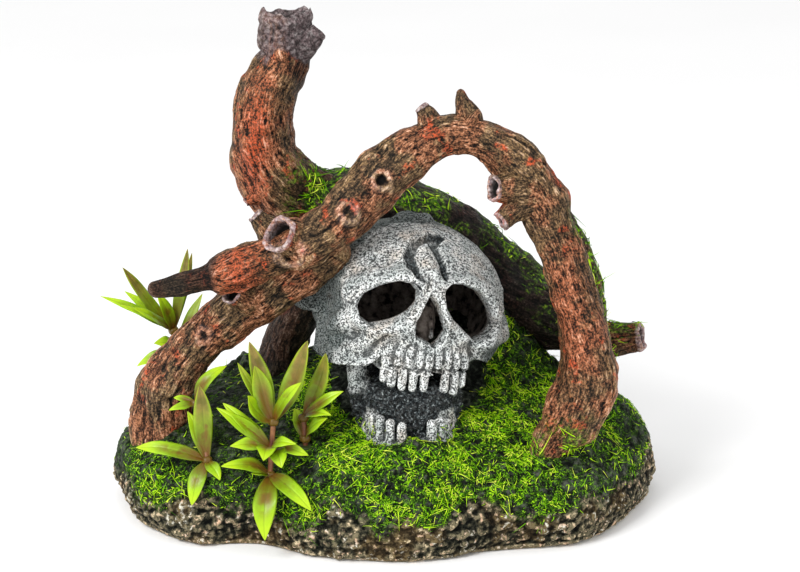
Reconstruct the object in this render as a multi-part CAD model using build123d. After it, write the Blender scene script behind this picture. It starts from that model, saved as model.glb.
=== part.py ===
"""Bubbling aquarium ornament: a cast-resin skull and driftwood roots on a mossy rock, with plastic plants.

Air enters by a barbed pipe at the back, leaves through an air stone in a channel under the rock, rises
through a chimney into the hollow skull and bubbles out of the eye sockets and nose.

Millimetres, +X to the right, +Y to the back, +Z up. The origin is on the flat underside, under the
ornament's middle.
"""

import math
import os

from build123d import *

# ---- Rock base: one irregular footprint, stacked as tapering layers ------------------------------
FOOTPRINT = [
    (-100, 1), (-89, -27), (-70, -42), (-46, -43), (-24, -53), (8, -58), (34, -50), (72, -41),
    (94, -14), (100, 14), (86, 40), (52, 55), (8, 58), (-42, 54), (-78, 42), (-97, 22),
]
# Each layer is (height, size against the footprint, shift in X, shift in Y).
LAYERS = [
    (0.0, 0.96, 0.0, 0.0),
    (9.0, 1.00, 0.0, 0.0),
    (22.0, 0.96, 0.0, 1.0),
    (31.0, 0.83, 2.0, 5.0),
    (38.0, 0.60, 9.0, 12.0),
    (47.0, 0.38, 19.0, 20.0),
    (57.0, 0.22, 23.0, 25.0),
]

# ---- Skull: hollow cranium and upper jaw, in its own frame with the face towards -Y --------------
SKULL_AT = (8.0, 4.0, 76.0)
SKULL_TURN = (-10.0, 6.0, 15.0)
CRANIUM = (34.5, 37.0, 29.0)  # half-sizes
CRANIUM_HOLLOW = (30.0, 32.0, 24.5)
FACE_OUTLINE = [
    (-13, -20), (13, -20), (15, -13), (27, -18), (31, -12), (29, 4), (20, 14),
    (-20, 14), (-29, 4), (-31, -12), (-27, -18), (-15, -13),
]
FACE_CURVE, FACE_BACK = (34.5, 35.0), -8.0  # half-width and half-depth of the curve it follows
MUZZLE_AT_Y, MUZZLE_R, MUZZLE_LOW, MUZZLE_HIGH = -18.5, 16.0, -24.0, -6.0
EYE_X, EYE_Z, EYE_HALF_WIDTH, EYE_HALF_HEIGHT = 13.5, 1.5, 9.0, 7.0
NOSE_OUTLINE = [(0, 1.5), (5.2, -8), (2.5, -12.5), (-2.5, -12.5), (-5.2, -8)]
CRANIUM_FLOOR_HOLE_R = 9.6
TOOTH_R, TOOTH_SPACING = 1.9, 16.5  # spacing in degrees round the jaw
UPPER_TEETH_R, UPPER_TEETH_LOW, UPPER_TEETH = 14.0, -28.7, (-4, -3, -2, -1, 0, 3, 4)

# ---- Lower jaw, sunk in the moss in front of the skull -------------------------------------------
JAW_AT, JAW_OUTER_R, JAW_INNER_R = (9.0, -24.0), 16.0, 11.5
JAW_BOTTOM, JAW_RIM, LOWER_TEETH_TOP = 24.0, 40.0, 45.5
LOWER_TEETH_R, LOWER_TEETH = 13.8, (-5, -4, -3, -2, -1, 2, 3, 4)
MOUTH_AT_Y, MOUTH_R, MOUTH_TOP = -15.0, 15.0, 51.0
RAMUS_AT, RAMUS_R, RAMUS_TOP = (-9.5, -18.0), 3.5, 64.0

# ---- Driftwood roots: each is a list of (x, y, z, radius) along its middle line ------------------
ROOT_ARCH = [
    (-78, -25, 89, 2.6), (-68, -24, 91.5, 4.2), (-55, -22.4, 94, 6.8), (-37, -20, 99, 8.0),
    (-21, -18, 107, 8.5), (-8, -15, 118, 8.5), (4, -12, 130, 8.5), (16, -10, 138, 8.0),
    (29, -10, 139.5, 7.5), (42, -12, 133.5, 8.5), (52, -14, 122, 8.5), (59, -17, 107, 8.5),
    (64.5, -20, 90, 8.5), (69.5, -22, 73, 9.0), (71, -24, 57, 10.0), (66, -26, 44, 10.5),
    (59, -27, 34, 10.5), (54, -27, 24, 9.5),
]
LEFT_LEG = [
    (-79, -6, 14, 10.5), (-81, -5, 30, 10.5), (-78, -5, 47, 9.5), (-68, -7, 61, 9.3),
    (-55, -9, 73, 9.3), (-42, -10, 83, 9.0), (-28, -11, 93, 8.5), (-16, -11, 101, 7.5),
]
STUMP = [
    (-32.5, 22, 174, 8.5), (-33.5, 22, 164, 8.5), (-38.5, 22, 149, 10.0), (-43, 22, 134, 12.0),
    (-42, 22, 121, 13.0), (-34, 24, 109, 12.5), (-22, 28, 103, 11.0),
]
BACK_ROOT = [
    (-32, 25, 102, 12.0), (-14, 30, 104, 14.0), (5, 34, 100, 14.0), (24, 37, 88.5, 13.0),
    (42, 36, 74, 13.0), (61, 32, 60.5, 12.0), (79, 26, 52.5, 8.0), (94, 21, 55, 4.6),
]
BACK_LEG = [(-16, 30, 88, 8.0), (-28, 29, 70, 8.0), (-37, 29, 52, 8.5), (-44, 29, 30, 9.0)]
RIGHT_PROP = [
    (56, -3, 117, 4.0), (65, 1, 101, 6.0), (71, 4, 84, 6.5), (75, 8, 66, 7.0), (76, 12, 46, 8.0),
    (76, 14, 28, 9.0),
]
# Short broken side branches of the arch.
ARCH_SPIKES = [
    [(29, -9, 143, 5.5), (27, -8, 154, 1.8)],
    [(16, -9, 141, 5.0), (14, -8, 148.5, 2.0)],
    [(-29, -18, 104, 7.0), (-41, -14, 109, 4.5)],
    [(54, -16, 120, 6.0), (44, -21, 124, 4.0)],
    [(53, -17, 117, 5.5), (46, -22, 112, 2.8)],
]

# ---- Air line, along Y under the rock ------------------------------------------------------------
AIR_X, AIR_Z = 11.0, 8.0
CHANNEL_HALF_WIDTH, CHANNEL_HEIGHT, CHANNEL_FRONT, CHANNEL_BACK = 8.0, 16.0, -30.0, 46.0
CHIMNEY_FRONT, CHIMNEY_BACK = -5.0, 9.0
PIPE_R, PIPE_BORE_R, PIPE_FRONT, PIPE_END = 2.4, 1.4, 17.0, 68.0
BARB_R, BARB_LENGTH, SPIGOT_LENGTH = 3.0, 2.0, 7.0
GROMMET_R, GROMMET_FLANGE_R, GROMMET_FLANGE = 4.5, 6.5, 1.5
SLEEVE_R, SLEEVE_FRONT, SLEEVE_OVERLAP = 3.6, 8.0, 5.0
STONE_R, STONE_LENGTH = 5.0, 18.0
STONE_BACK, NIPPLE_LENGTH, NIPPLE_R = 6.5, 8.0, 1.9
SADDLE_WIDTH, SADDLE_LENGTH, SADDLE_AT_Y = 11.0, 5.0, 30.0
RUNNING_GAP = 0.05

# ---- Plastic plants ------------------------------------------------------------------------------
PEG_R, PEG_LENGTH, FLANGE_R, FLANGE_HEIGHT = 2.2, 8.0, 3.4, 1.5
STEM_R, STEM_PIN_LENGTH = 0.9, 5.0
HUB_R, HUB_HEIGHT = 1.9, 2.6
LEAF_THICKNESS = 0.7
FACING = Vector(0, -0.55, 0.83)  # leaves turn their faces to the light and to the front

# Each plant is its foot, its stem's tip, and its whorls. A whorl is (share of the stem's height, its
# leaves), and a leaf is its tip measured from the whorl's hub, its width and how far it bows out
# between hub and tip.
PLANTS = {
    "left": {
        "foot": (-61, -36, 25.2),
        "tip": (-66, -25.5, 48.0),
        "whorls": [
            (0.08, [((-25, 2, 4), 5.8, 3.5), ((-2, 0, 28), 6.2, -2.0), ((-7, 6, 16), 4.6, 1.0),
                    ((-5, -9, -13), 5.6, 2.5), ((5, -8, -4), 4.2, 1.5)]),
            (0.96, [((11, 3, 13), 4.8, 4.0), ((-9, -4, -1), 3.0, 1.0), ((-8, 3, 1), 2.8, 1.0)]),
        ],
    },
    "front": {
        "foot": (-39.5, -40, 21.8),
        "tip": (-38, -36, 45.0),
        "whorls": [
            (0.08, [((-1, -17, -17), 7.6, 5.0), ((15, -15, -7), 6.2, 4.0), ((-16, -9, 7), 5.4, 3.0),
                    ((-6, -6, 3), 2.4, 0.6)]),
            (0.50, [((4, -9, -3), 6.0, 2.0), ((13, -5, 0), 4.4, 2.0), ((9, -7, 5), 4.2, 3.0),
                    ((-2, -12, 1), 6.6, 2.5), ((-14, -4, 3), 5.0, 2.0), ((-19, 4, 14), 5.0, 2.0),
                    ((-17, 6, 15), 4.8, 2.0)]),
            (0.97, [((-8, -6, 12), 6.0, -2.0), ((-6, -1, 21), 6.4, -1.5), ((-8, 4, 28), 6.3, -1.5),
                    ((-12, 2, 21), 3.6, -1.0), ((12, 5, 28), 7.0, -3.0), ((10, -4, 16), 4.6, 1.5)]),
        ],
    },
    "middle": {
        "foot": (-27.5, -28, 31.0),
        "tip": (-28, -27, 43.0),
        "whorls": [
            (0.12, [((8, -6, 10), 5.0, 1.5), ((-4, 6, 9), 4.4, 1.0)]),
            (0.93, [((8, 0, 24), 6.0, -2.0), ((14, -3, 11), 4.6, 2.0), ((10, -8, 4), 3.6, 2.0)]),
        ],
    },
    "rear": {
        "foot": (-73, 21, 28.0),
        "tip": (-78, 17, 60.0),
        "whorls": [
            (0.70, [((-8, -7, 5), 6.0, 2.5), ((-15, -4, -5), 4.4, 2.0), ((9, 6, 20), 3.6, 1.5)]),
            (0.97, [((-17, -5, 26), 4.8, -1.5), ((-26, -2, 14), 3.4, 1.5), ((-18, 4, 14), 4.2, 1.0),
                    ((-18, -6, 12), 3.2, 1.0), ((-13, -9, 12), 4.2, 1.0), ((6, 2, 31), 4.2, -1.5),
                    ((7, 7, 28), 3.2, -1.0), ((-5, -4, 16), 4.4, 1.0)]),
        ],
    },
}


def ring(points, height, size, shift_x, shift_y):
    """The closed footprint wire at one height, scaled about the middle."""
    corners = [(x * size + shift_x, y * size + shift_y, height) for x, y in points]
    return Wire.make_polygon(corners, close=True)


def rock_layers():
    """The rock as one solid of flat-sided layers."""
    rings = [ring(FOOTPRINT, *layer) for layer in LAYERS]
    layers = [Solid.make_loft([low, high], ruled=True) for low, high in zip(rings, rings[1:])]
    return layers[0].fuse(*layers[1:]).clean()


def root(stations):
    """A smooth closed root whose round section follows the stations."""
    points = [Vector(*station[:3]) for station in stations]
    sections = []
    for index, (point, station) in enumerate(zip(points, stations)):
        before, after = points[max(index - 1, 0)], points[min(index + 1, len(points) - 1)]
        along = (after - before).normalized()
        across = along.cross(Vector(0, 1, 0)).normalized()
        plane = Plane(origin=point, x_dir=across, z_dir=along)
        sections.append(Wire(Edge.make_circle(station[3], plane)))
    return Solid.make_loft(sections)


def skull_place():
    return Location(SKULL_AT, SKULL_TURN)


def ellipsoid(half_sizes):
    return scale(Sphere(1), by=half_sizes)


def skull_face():
    """The brow, cheekbones and upper jaw, before the openings."""
    half_width, half_depth = FACE_CURVE
    curve = extrude(Ellipse(half_width, half_depth), 2 * half_depth, both=True)
    profile = Plane.XZ * make_face(Polyline(*FACE_OUTLINE, close=True))
    cheeks = Pos(0, FACE_BACK, 0) * extrude(profile, 2 * half_depth) & curve
    muzzle = Pos(0, MUZZLE_AT_Y, MUZZLE_LOW) * extrude(Circle(MUZZLE_R), MUZZLE_HIGH - MUZZLE_LOW)
    return cheeks + muzzle


def skull_envelope():
    """The skull without its hollow and teeth, in the skull's own frame."""
    return ellipsoid(CRANIUM) + skull_face()


def teeth(numbers, radius, low, high):
    """Round pegs on an arc about Z that opens towards +Y; number 0 is at the front."""
    row = []
    for number in numbers:
        angle = math.radians(number * TOOTH_SPACING)
        peg = extrude(Circle(TOOTH_R), high - low)
        row.append(Pos(radius * math.sin(angle), -radius * math.cos(angle), low) * peg)
    return row


def skull():
    """The hollow skull, open at the eyes, the nose and the floor of the cranium."""
    shell = skull_envelope() - ellipsoid(CRANIUM_HOLLOW)
    depth = 2 * FACE_CURVE[1]
    front = Pos(0, -CRANIUM[1] / 3, 0)
    eye = extrude(Plane.XZ * Ellipse(EYE_HALF_WIDTH, EYE_HALF_HEIGHT), depth)
    for side in (-1, 1):
        shell -= front * Pos(side * EYE_X, 0, EYE_Z) * eye
    shell -= front * extrude(Plane.XZ * make_face(Polyline(*NOSE_OUTLINE, close=True)), depth)
    for tooth in teeth(UPPER_TEETH, UPPER_TEETH_R, UPPER_TEETH_LOW, MUZZLE_LOW + 1):
        shell += Pos(0, MUZZLE_AT_Y, 0) * tooth
    placed = skull_place() * shell
    middle = (CHIMNEY_FRONT + CHIMNEY_BACK) / 2
    hole = Cylinder(CRANIUM_FLOOR_HOLE_R, CRANIUM[2])
    return placed - Pos(AIR_X, middle, SKULL_AT[2] - CRANIUM[2]) * hole


def lower_jaw():
    """The lower jaw: its rim and teeth, the mouth's floor behind them and the left-hand branch."""
    x, y = JAW_AT
    rim = Pos(x, y, JAW_BOTTOM) * extrude(Circle(JAW_OUTER_R) - Circle(JAW_INNER_R), JAW_RIM - JAW_BOTTOM)
    core = Pos(x, y, JAW_BOTTOM) * extrude(Circle(JAW_INNER_R), JAW_RIM - JAW_BOTTOM - 4)
    mouth = Pos(x, MOUTH_AT_Y, JAW_BOTTOM) * extrude(Circle(MOUTH_R), MOUTH_TOP - JAW_BOTTOM)
    branch = Pos(*RAMUS_AT, JAW_BOTTOM) * extrude(Circle(RAMUS_R), RAMUS_TOP - JAW_BOTTOM)
    jaw = rim + core + mouth + branch
    for tooth in teeth(LOWER_TEETH, LOWER_TEETH_R, JAW_RIM - 1, LOWER_TEETH_TOP):
        jaw += Pos(x, y, 0) * tooth
    return jaw


def along_y(radius, front, back, bore=0.0):
    """A round bar or tube on the air line's axis, from front to back."""
    bar = Plane.XZ * Circle(radius)
    if bore:
        bar -= Plane.XZ * Circle(bore)
    return Pos(AIR_X, back, AIR_Z) * extrude(bar, back - front)


def air_box(front, back, top):
    """A space under the rock as wide as the channel, from the floor to its top."""
    return Pos(AIR_X, (front + back) / 2, top / 2) * Box(2 * CHANNEL_HALF_WIDTH, back - front, top)


def air_channel():
    """The space under the rock for the air line, with the pipe's hole and the chimney to the skull."""
    channel = air_box(CHANNEL_FRONT, CHANNEL_BACK, CHANNEL_HEIGHT)
    chimney = air_box(CHIMNEY_FRONT, CHIMNEY_BACK, SKULL_AT[2])
    return channel + chimney + along_y(GROMMET_R, CHANNEL_BACK - 1, PIPE_END)


def rear_face_y():
    """Where the rock's back wall is at the air line's height."""
    low, high = LAYERS[0], LAYERS[1]
    share = (AIR_Z - low[0]) / (high[0] - low[0])
    size = low[1] + share * (high[1] - low[1])
    (x0, y0), (x1, y1) = FOOTPRINT[11], FOOTPRINT[12]
    return size * (y0 + (y1 - y0) * (AIR_X / size - x0) / (x1 - x0))


def pipe_grommet():
    """The silicone ring that seals the pipe in the back wall."""
    back = rear_face_y()
    neck = along_y(GROMMET_R, CHANNEL_BACK, back + 1, PIPE_R)
    flange = along_y(GROMMET_FLANGE_R, CHANNEL_BACK - GROMMET_FLANGE, CHANNEL_BACK, PIPE_R)
    return neck + flange


def air_pipe():
    """The rigid pipe, with a barb behind its plain spigot."""
    barb_back = PIPE_END - SPIGOT_LENGTH
    pipe = along_y(PIPE_R, PIPE_FRONT, PIPE_END) + along_y(BARB_R, barb_back - BARB_LENGTH, barb_back)
    return pipe - along_y(PIPE_BORE_R, PIPE_FRONT - 1, PIPE_END + 1)


def coupling_sleeve():
    """The silicone sleeve that joins the pipe to the stone's nipple."""
    back = PIPE_FRONT + SLEEVE_OVERLAP
    sleeve = along_y(SLEEVE_R, SLEEVE_FRONT, back, NIPPLE_R + RUNNING_GAP)
    return sleeve - along_y(PIPE_R, PIPE_FRONT, back + 1)


def air_stone():
    """The porous stone, drilled for its nipple."""
    stone = along_y(STONE_R, STONE_BACK - STONE_LENGTH, STONE_BACK)
    return stone - along_y(NIPPLE_R, STONE_BACK - STONE_LENGTH / 2, STONE_BACK + 1)


def stone_nipple():
    front = STONE_BACK - STONE_LENGTH / 2
    return along_y(NIPPLE_R, front, STONE_BACK + NIPPLE_LENGTH, NIPPLE_R / 2)


def pipe_saddle():
    """The block glued to the channel's roof that holds the pipe."""
    height = CHANNEL_HEIGHT - AIR_Z + PIPE_R + 1
    block = Box(SADDLE_WIDTH, SADDLE_LENGTH, height)
    block = Pos(AIR_X, SADDLE_AT_Y, CHANNEL_HEIGHT - height / 2) * block
    return block - along_y(PIPE_R, PIPE_FRONT, PIPE_END)


def plant_foot(foot):
    """The moulded foot: a peg for the rock's socket, a flange, and a bore for the stem."""
    x, y, z = foot
    peg = Pos(x, y, z - PEG_LENGTH / 2) * Cylinder(PEG_R, PEG_LENGTH)
    flange = Pos(x, y, z + FLANGE_HEIGHT / 2) * Cylinder(FLANGE_R, FLANGE_HEIGHT)
    bore_depth = STEM_PIN_LENGTH + RUNNING_GAP
    bore = Pos(x, y, z + FLANGE_HEIGHT - bore_depth / 2) * Cylinder(STEM_R + RUNNING_GAP, bore_depth)
    return peg + flange - bore


def peg_socket(foot):
    """What the rock loses for one plant: the peg's hole and a flat spot for the flange."""
    x, y, z = foot
    depth = PEG_LENGTH + 2 * RUNNING_GAP
    hole = Pos(x, y, z - depth / 2) * Cylinder(PEG_R + RUNNING_GAP, depth)
    return hole + Pos(x, y, z + 10) * Cylinder(FLANGE_R + 0.3, 20)


def stem_line(plant):
    """The stem's lower end, above the foot's flange, and its tip."""
    x, y, z = plant["foot"]
    return Vector(x, y, z + FLANGE_HEIGHT + STEM_R + 0.3), Vector(*plant["tip"])


def plant_stem(plant):
    """The stem: an upright pin in the foot's bore, then a straight leaning rod."""
    low, high = stem_line(plant)
    pin_top = low.Z
    pin_low = pin_top - STEM_R - 0.3 - STEM_PIN_LENGTH + RUNNING_GAP
    pin = Pos(low.X, low.Y, (pin_low + pin_top) / 2) * Cylinder(STEM_R, pin_top - pin_low)
    rod = Solid.make_cylinder(STEM_R, (high - low).length, Plane(origin=low, z_dir=high - low))
    return pin + Pos(*low) * Sphere(STEM_R) + rod


def leaf(hub, tip, width, bow):
    """A thin leaf that runs from the hub to its tip in an arc and is pointed at both ends."""
    chord = Vector(*tip)
    length = chord.length
    along = chord.normalized()
    normal = (FACING - along * FACING.dot(along)).normalized()
    plane = Plane(origin=hub, x_dir=along, z_dir=normal)
    half, thick = width / 2, LEAF_THICKNESS / 2
    root_half = min(1.0, half / 2)
    edges = [
        ThreePointArc((0, root_half), (length * 0.5, half), (length, 0)),
        ThreePointArc((length, 0), (length * 0.5, -half), (0, -root_half)),
        Line((0, -root_half), (0, root_half)),
    ]
    outline = extrude(make_face(edges), 2 * length, both=True)
    upper = ThreePointArc((0, thick), (length / 2, bow + thick), (length, thick))
    lower = ThreePointArc((length, -thick), (length / 2, bow - thick), (0, -thick))
    band_face = make_face([upper, Line(upper @ 1, lower @ 0), lower, Line(lower @ 1, upper @ 0)])
    band = extrude(Plane.XZ * band_face, width, both=True)
    return Location(plane) * (outline & band)


def whorl(plant, share, leaves):
    """A ring of leaves moulded on one hub and threaded on the stem."""
    low, high = stem_line(plant)
    hub_at = low + (high - low) * share
    along = (high - low).normalized()
    below = Plane(origin=hub_at - along * (HUB_HEIGHT / 2), z_dir=along)
    hub = Solid.make_cylinder(HUB_R, HUB_HEIGHT, below)
    made = Part() + hub
    for tip, width, bow in leaves:
        made += leaf(hub_at, tip, width, bow)
    return made - plant_stem(plant)


def plant_parts(name, plant):
    """A plant's nodes: its foot, its stem and each whorl."""
    made = {f"plant_{name}_foot": plant_foot(plant["foot"]), f"plant_{name}_stem": plant_stem(plant)}
    for number, (share, leaves) in enumerate(plant["whorls"], 1):
        made[f"plant_{name}_whorl_{number}"] = whorl(plant, share, leaves)
    return made


def rock_pieces(rock):
    """The rock in four pieces, cut along the channel's side walls and across the chimney."""
    left, right = AIR_X - CHANNEL_HALF_WIDTH, AIR_X + CHANNEL_HALF_WIDTH
    size = 500
    strip = Pos((left + right) / 2, 0, 0) * Box(right - left, size, size)
    return {
        "rock_left": rock & Pos(left - size / 2, 0, 0) * Box(size, size, size),
        "rock_right": rock & Pos(right + size / 2, 0, 0) * Box(size, size, size),
        "rock_front": rock & strip & Pos(0, CHIMNEY_FRONT - size / 2, 0) * Box(size, size, size),
        "rock_rear": rock & strip & Pos(0, CHIMNEY_BACK + size / 2, 0) * Box(size, size, size),
    }


def resin_parts():
    """The castings, each cut to sit against the ones it is glued to."""
    envelope = skull_place() * skull_envelope()
    arch = root(ROOT_ARCH)
    for spike in ARCH_SPIKES:
        arch += root(spike)
    arch -= envelope
    left_leg = root(LEFT_LEG) - arch - envelope
    back = root(BACK_ROOT) - envelope
    stump = root(STUMP) - back - arch
    back_leg = root(BACK_LEG) - back - envelope
    prop = root(RIGHT_PROP) - arch - back
    head = skull()
    jaw = lower_jaw() - envelope - head - air_channel()
    rock = rock_layers() - envelope
    for piece in (arch, left_leg, back, back_leg, prop, jaw):
        rock -= piece
    rock -= Pos(*JAW_AT, JAW_RIM - 4) * extrude(Circle(JAW_OUTER_R), JAW_RIM)
    rock -= air_channel()
    for plant in PLANTS.values():
        rock -= peg_socket(plant["foot"])
    return {
        **rock_pieces(rock), "skull": head, "lower_jaw": jaw, "root_arch": arch,
        "root_left_leg": left_leg, "root_stump": stump, "root_back": back,
        "root_back_leg": back_leg, "root_right_prop": prop,
    }


def air_parts():
    return {
        "air_pipe": air_pipe(), "pipe_grommet": pipe_grommet(), "pipe_saddle": pipe_saddle(),
        "coupling_sleeve": coupling_sleeve(), "stone_nipple": stone_nipple(), "air_stone": air_stone(),
    }


def main():
    os.makedirs("parts", exist_ok=True)
    nodes = {**resin_parts(), **air_parts()}
    for name, plant in PLANTS.items():
        nodes.update(plant_parts(name, plant))
    for name, shape in nodes.items():
        export_step(shape, f"parts/{name}.step")


main()
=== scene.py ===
"""Looks of the bubbling ornament: a carved skull, driftwood, a mossy rock and plastic leaves around the CAD frame.

Shapes are worked out in millimetres in the frame's own axes, +X right, +Y back and +Z up. piece() makes them metres.
"""

import math

import bpy
import numpy as np
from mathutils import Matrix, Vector

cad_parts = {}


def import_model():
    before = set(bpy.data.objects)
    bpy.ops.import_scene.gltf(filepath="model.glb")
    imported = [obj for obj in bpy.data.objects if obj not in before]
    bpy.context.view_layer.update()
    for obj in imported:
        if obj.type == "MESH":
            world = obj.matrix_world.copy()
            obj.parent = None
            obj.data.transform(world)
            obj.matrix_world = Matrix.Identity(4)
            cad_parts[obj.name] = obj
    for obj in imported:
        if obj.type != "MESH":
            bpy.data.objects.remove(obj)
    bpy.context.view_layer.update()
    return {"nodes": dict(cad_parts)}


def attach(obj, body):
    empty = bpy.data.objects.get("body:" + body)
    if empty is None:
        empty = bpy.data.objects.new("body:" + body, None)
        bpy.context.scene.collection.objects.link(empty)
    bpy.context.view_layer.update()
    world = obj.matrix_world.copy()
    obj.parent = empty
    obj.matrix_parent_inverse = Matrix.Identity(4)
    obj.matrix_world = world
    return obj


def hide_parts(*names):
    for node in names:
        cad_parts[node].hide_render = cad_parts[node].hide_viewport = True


MM = 0.001


# ---- Noise that repeats on every run
def lattice(cell, seed):
    """A number from 0 to 1 for each whole-number point."""
    c = cell.astype(np.int64)
    h = (c[..., 0] * 73856093) ^ (c[..., 1] * 19349663) ^ (c[..., 2] * 83492791) ^ (seed * 2654435761)
    h &= 0xFFFFFFFF
    h = ((h ^ (h >> 15)) * 2246822519) & 0xFFFFFFFF
    h = ((h ^ (h >> 13)) * 3266489917) & 0xFFFFFFFF
    return ((h ^ (h >> 16)) & 0xFFFFFF) / float(0x1000000)


def noise(points, size, seed):
    """Smooth noise from 0 to 1 whose features are about size across."""
    place = points / size
    base = np.floor(place)
    f = place - base
    f = f * f * (3 - 2 * f)
    total = np.zeros(len(points))
    for corner in np.ndindex(2, 2, 2):
        share = np.prod(np.where(np.array(corner, bool), f, 1 - f), axis=-1)
        total += share * lattice(base + corner, seed)
    return total


def summed(points, size, octaves, seed, fade, shape):
    """The mean of several octaves of noise from -1 to 1, each put through shape and fading by a factor."""
    total, weight, whole = np.zeros(len(points)), 1.0, 0.0
    for octave in range(octaves):
        total += weight * shape(2 * noise(points, size / 2**octave, seed + octave) - 1)
        whole += weight
        weight *= fade
    return total / whole


def layered(points, size, octaves, seed):
    """Noise from about -1 to 1 with finer noise on it."""
    return summed(points, size, octaves, seed, 0.55, lambda value: value)


def furrows(points, size, octaves, seed):
    """Noise from 0 to 1 that is 0 along thin winding lines."""
    return np.minimum(1, 2 * summed(points, size, octaves, seed, 0.5, np.abs))


def cells(points, size, seed):
    """Distance to the nearest of scattered points, in sizes."""
    place = points / size
    base = np.floor(place)
    best = np.full(len(points), 9.0)
    for corner in np.ndindex(3, 3, 3):
        cell = base + np.array(corner) - 1
        spot = np.stack([lattice(cell, seed + k) for k in range(3)], axis=-1)
        best = np.minimum(best, ((cell + spot - place) ** 2).sum(axis=-1))
    return np.sqrt(best)


def step(value, low, high):
    """A smooth step from 0 at low to 1 at high."""
    t = np.clip((value - low) / (high - low), 0, 1)
    return t * t * (3 - 2 * t)


def bump(distance, width):
    """A rounded bump, 1 in the middle."""
    return np.exp(-((distance / width) ** 2))


# ---- Meshes
def normals(verts, faces):
    """A unit normal for each point."""
    a, b, c = verts[faces[:, 0]], verts[faces[:, 1]], verts[faces[:, 2]]
    across = np.cross(b - a, c - a) if faces.shape[1] == 3 else np.cross(c - a, verts[faces[:, 3]] - b)
    total = np.zeros_like(verts)
    for axis in range(3):
        for corner in range(faces.shape[1]):
            total[:, axis] += np.bincount(faces[:, corner], across[:, axis], len(verts))
    return total / np.maximum(np.linalg.norm(total, axis=1, keepdims=True), 1e-9)


def smoothed(verts, faces, rounds):
    """The points after a number of rounds of averaging with their neighbours."""
    one, two = np.vstack([faces[:, [k, (k + 1) % faces.shape[1]]] for k in range(faces.shape[1])]).T
    count = np.bincount(one, minlength=len(verts)) + np.bincount(two, minlength=len(verts))
    soft = verts
    for _ in range(rounds):
        total = np.zeros_like(soft)
        for axis in range(3):
            total[:, axis] += np.bincount(one, soft[two, axis], len(verts))
            total[:, axis] += np.bincount(two, soft[one, axis], len(verts))
        soft = 0.5 * soft + 0.5 * total / np.maximum(count, 1)[:, None]
    return soft


def relief(verts, faces, rounds=14):
    """How far each point stands proud of its smoothed surroundings, in millimetres."""
    return ((verts - smoothed(verts, faces, rounds)) * normals(verts, faces)).sum(axis=1)


def added(name, data):
    """A new object in the scene."""
    made = bpy.data.objects.new(name, data)
    bpy.context.scene.collection.objects.link(made)
    return made


def piece(name, verts, faces, material, slot, stands_for=(), body="ornament", **attributes):
    """A smooth mesh from points in millimetres, with a value per point for each attribute, riding on a CAD body."""
    mesh = bpy.data.meshes.new(name)
    mesh.from_pydata((verts * MM).tolist(), [], [face.tolist() for part in faces for face in part])
    mesh.shade_smooth()
    for key, values in attributes.items():
        kind = "FLOAT" if values.ndim == 1 else "FLOAT_VECTOR"
        layer = mesh.attributes.new(key, kind, "POINT")
        layer.data.foreach_set("value" if values.ndim == 1 else "vector", values.astype(np.float32).ravel())
    mesh.materials.append(material)
    made = added(name, mesh)
    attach(made, body)
    if stands_for:
        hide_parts(*stands_for)
    return made


def merge(parts):
    """Several (verts, faces, attributes) as one, where faces is a list of arrays."""
    verts, faces, attributes, start = [], [], {}, 0
    for v, f, extra in parts:
        verts.append(v)
        faces += [part + start for part in f]
        for key, values in extra.items():
            attributes.setdefault(key, []).append(values)
        start += len(v)
    return np.vstack(verts), faces, {key: np.concatenate(values) for key, values in attributes.items()}


def tube_faces(rows, columns):
    """Quads between rings of points, each ring closed."""
    i, j = np.meshgrid(np.arange(rows - 1), np.arange(columns), indexing="ij")
    k = (j + 1) % columns
    low, high = i * columns, (i + 1) * columns
    return np.stack([low + j, low + k, high + k, high + j], -1).reshape(-1, 4)


# ---- Solids described by distance, then meshed
OUTSIDE = 50.0  # a distance that is far from every solid


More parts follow.
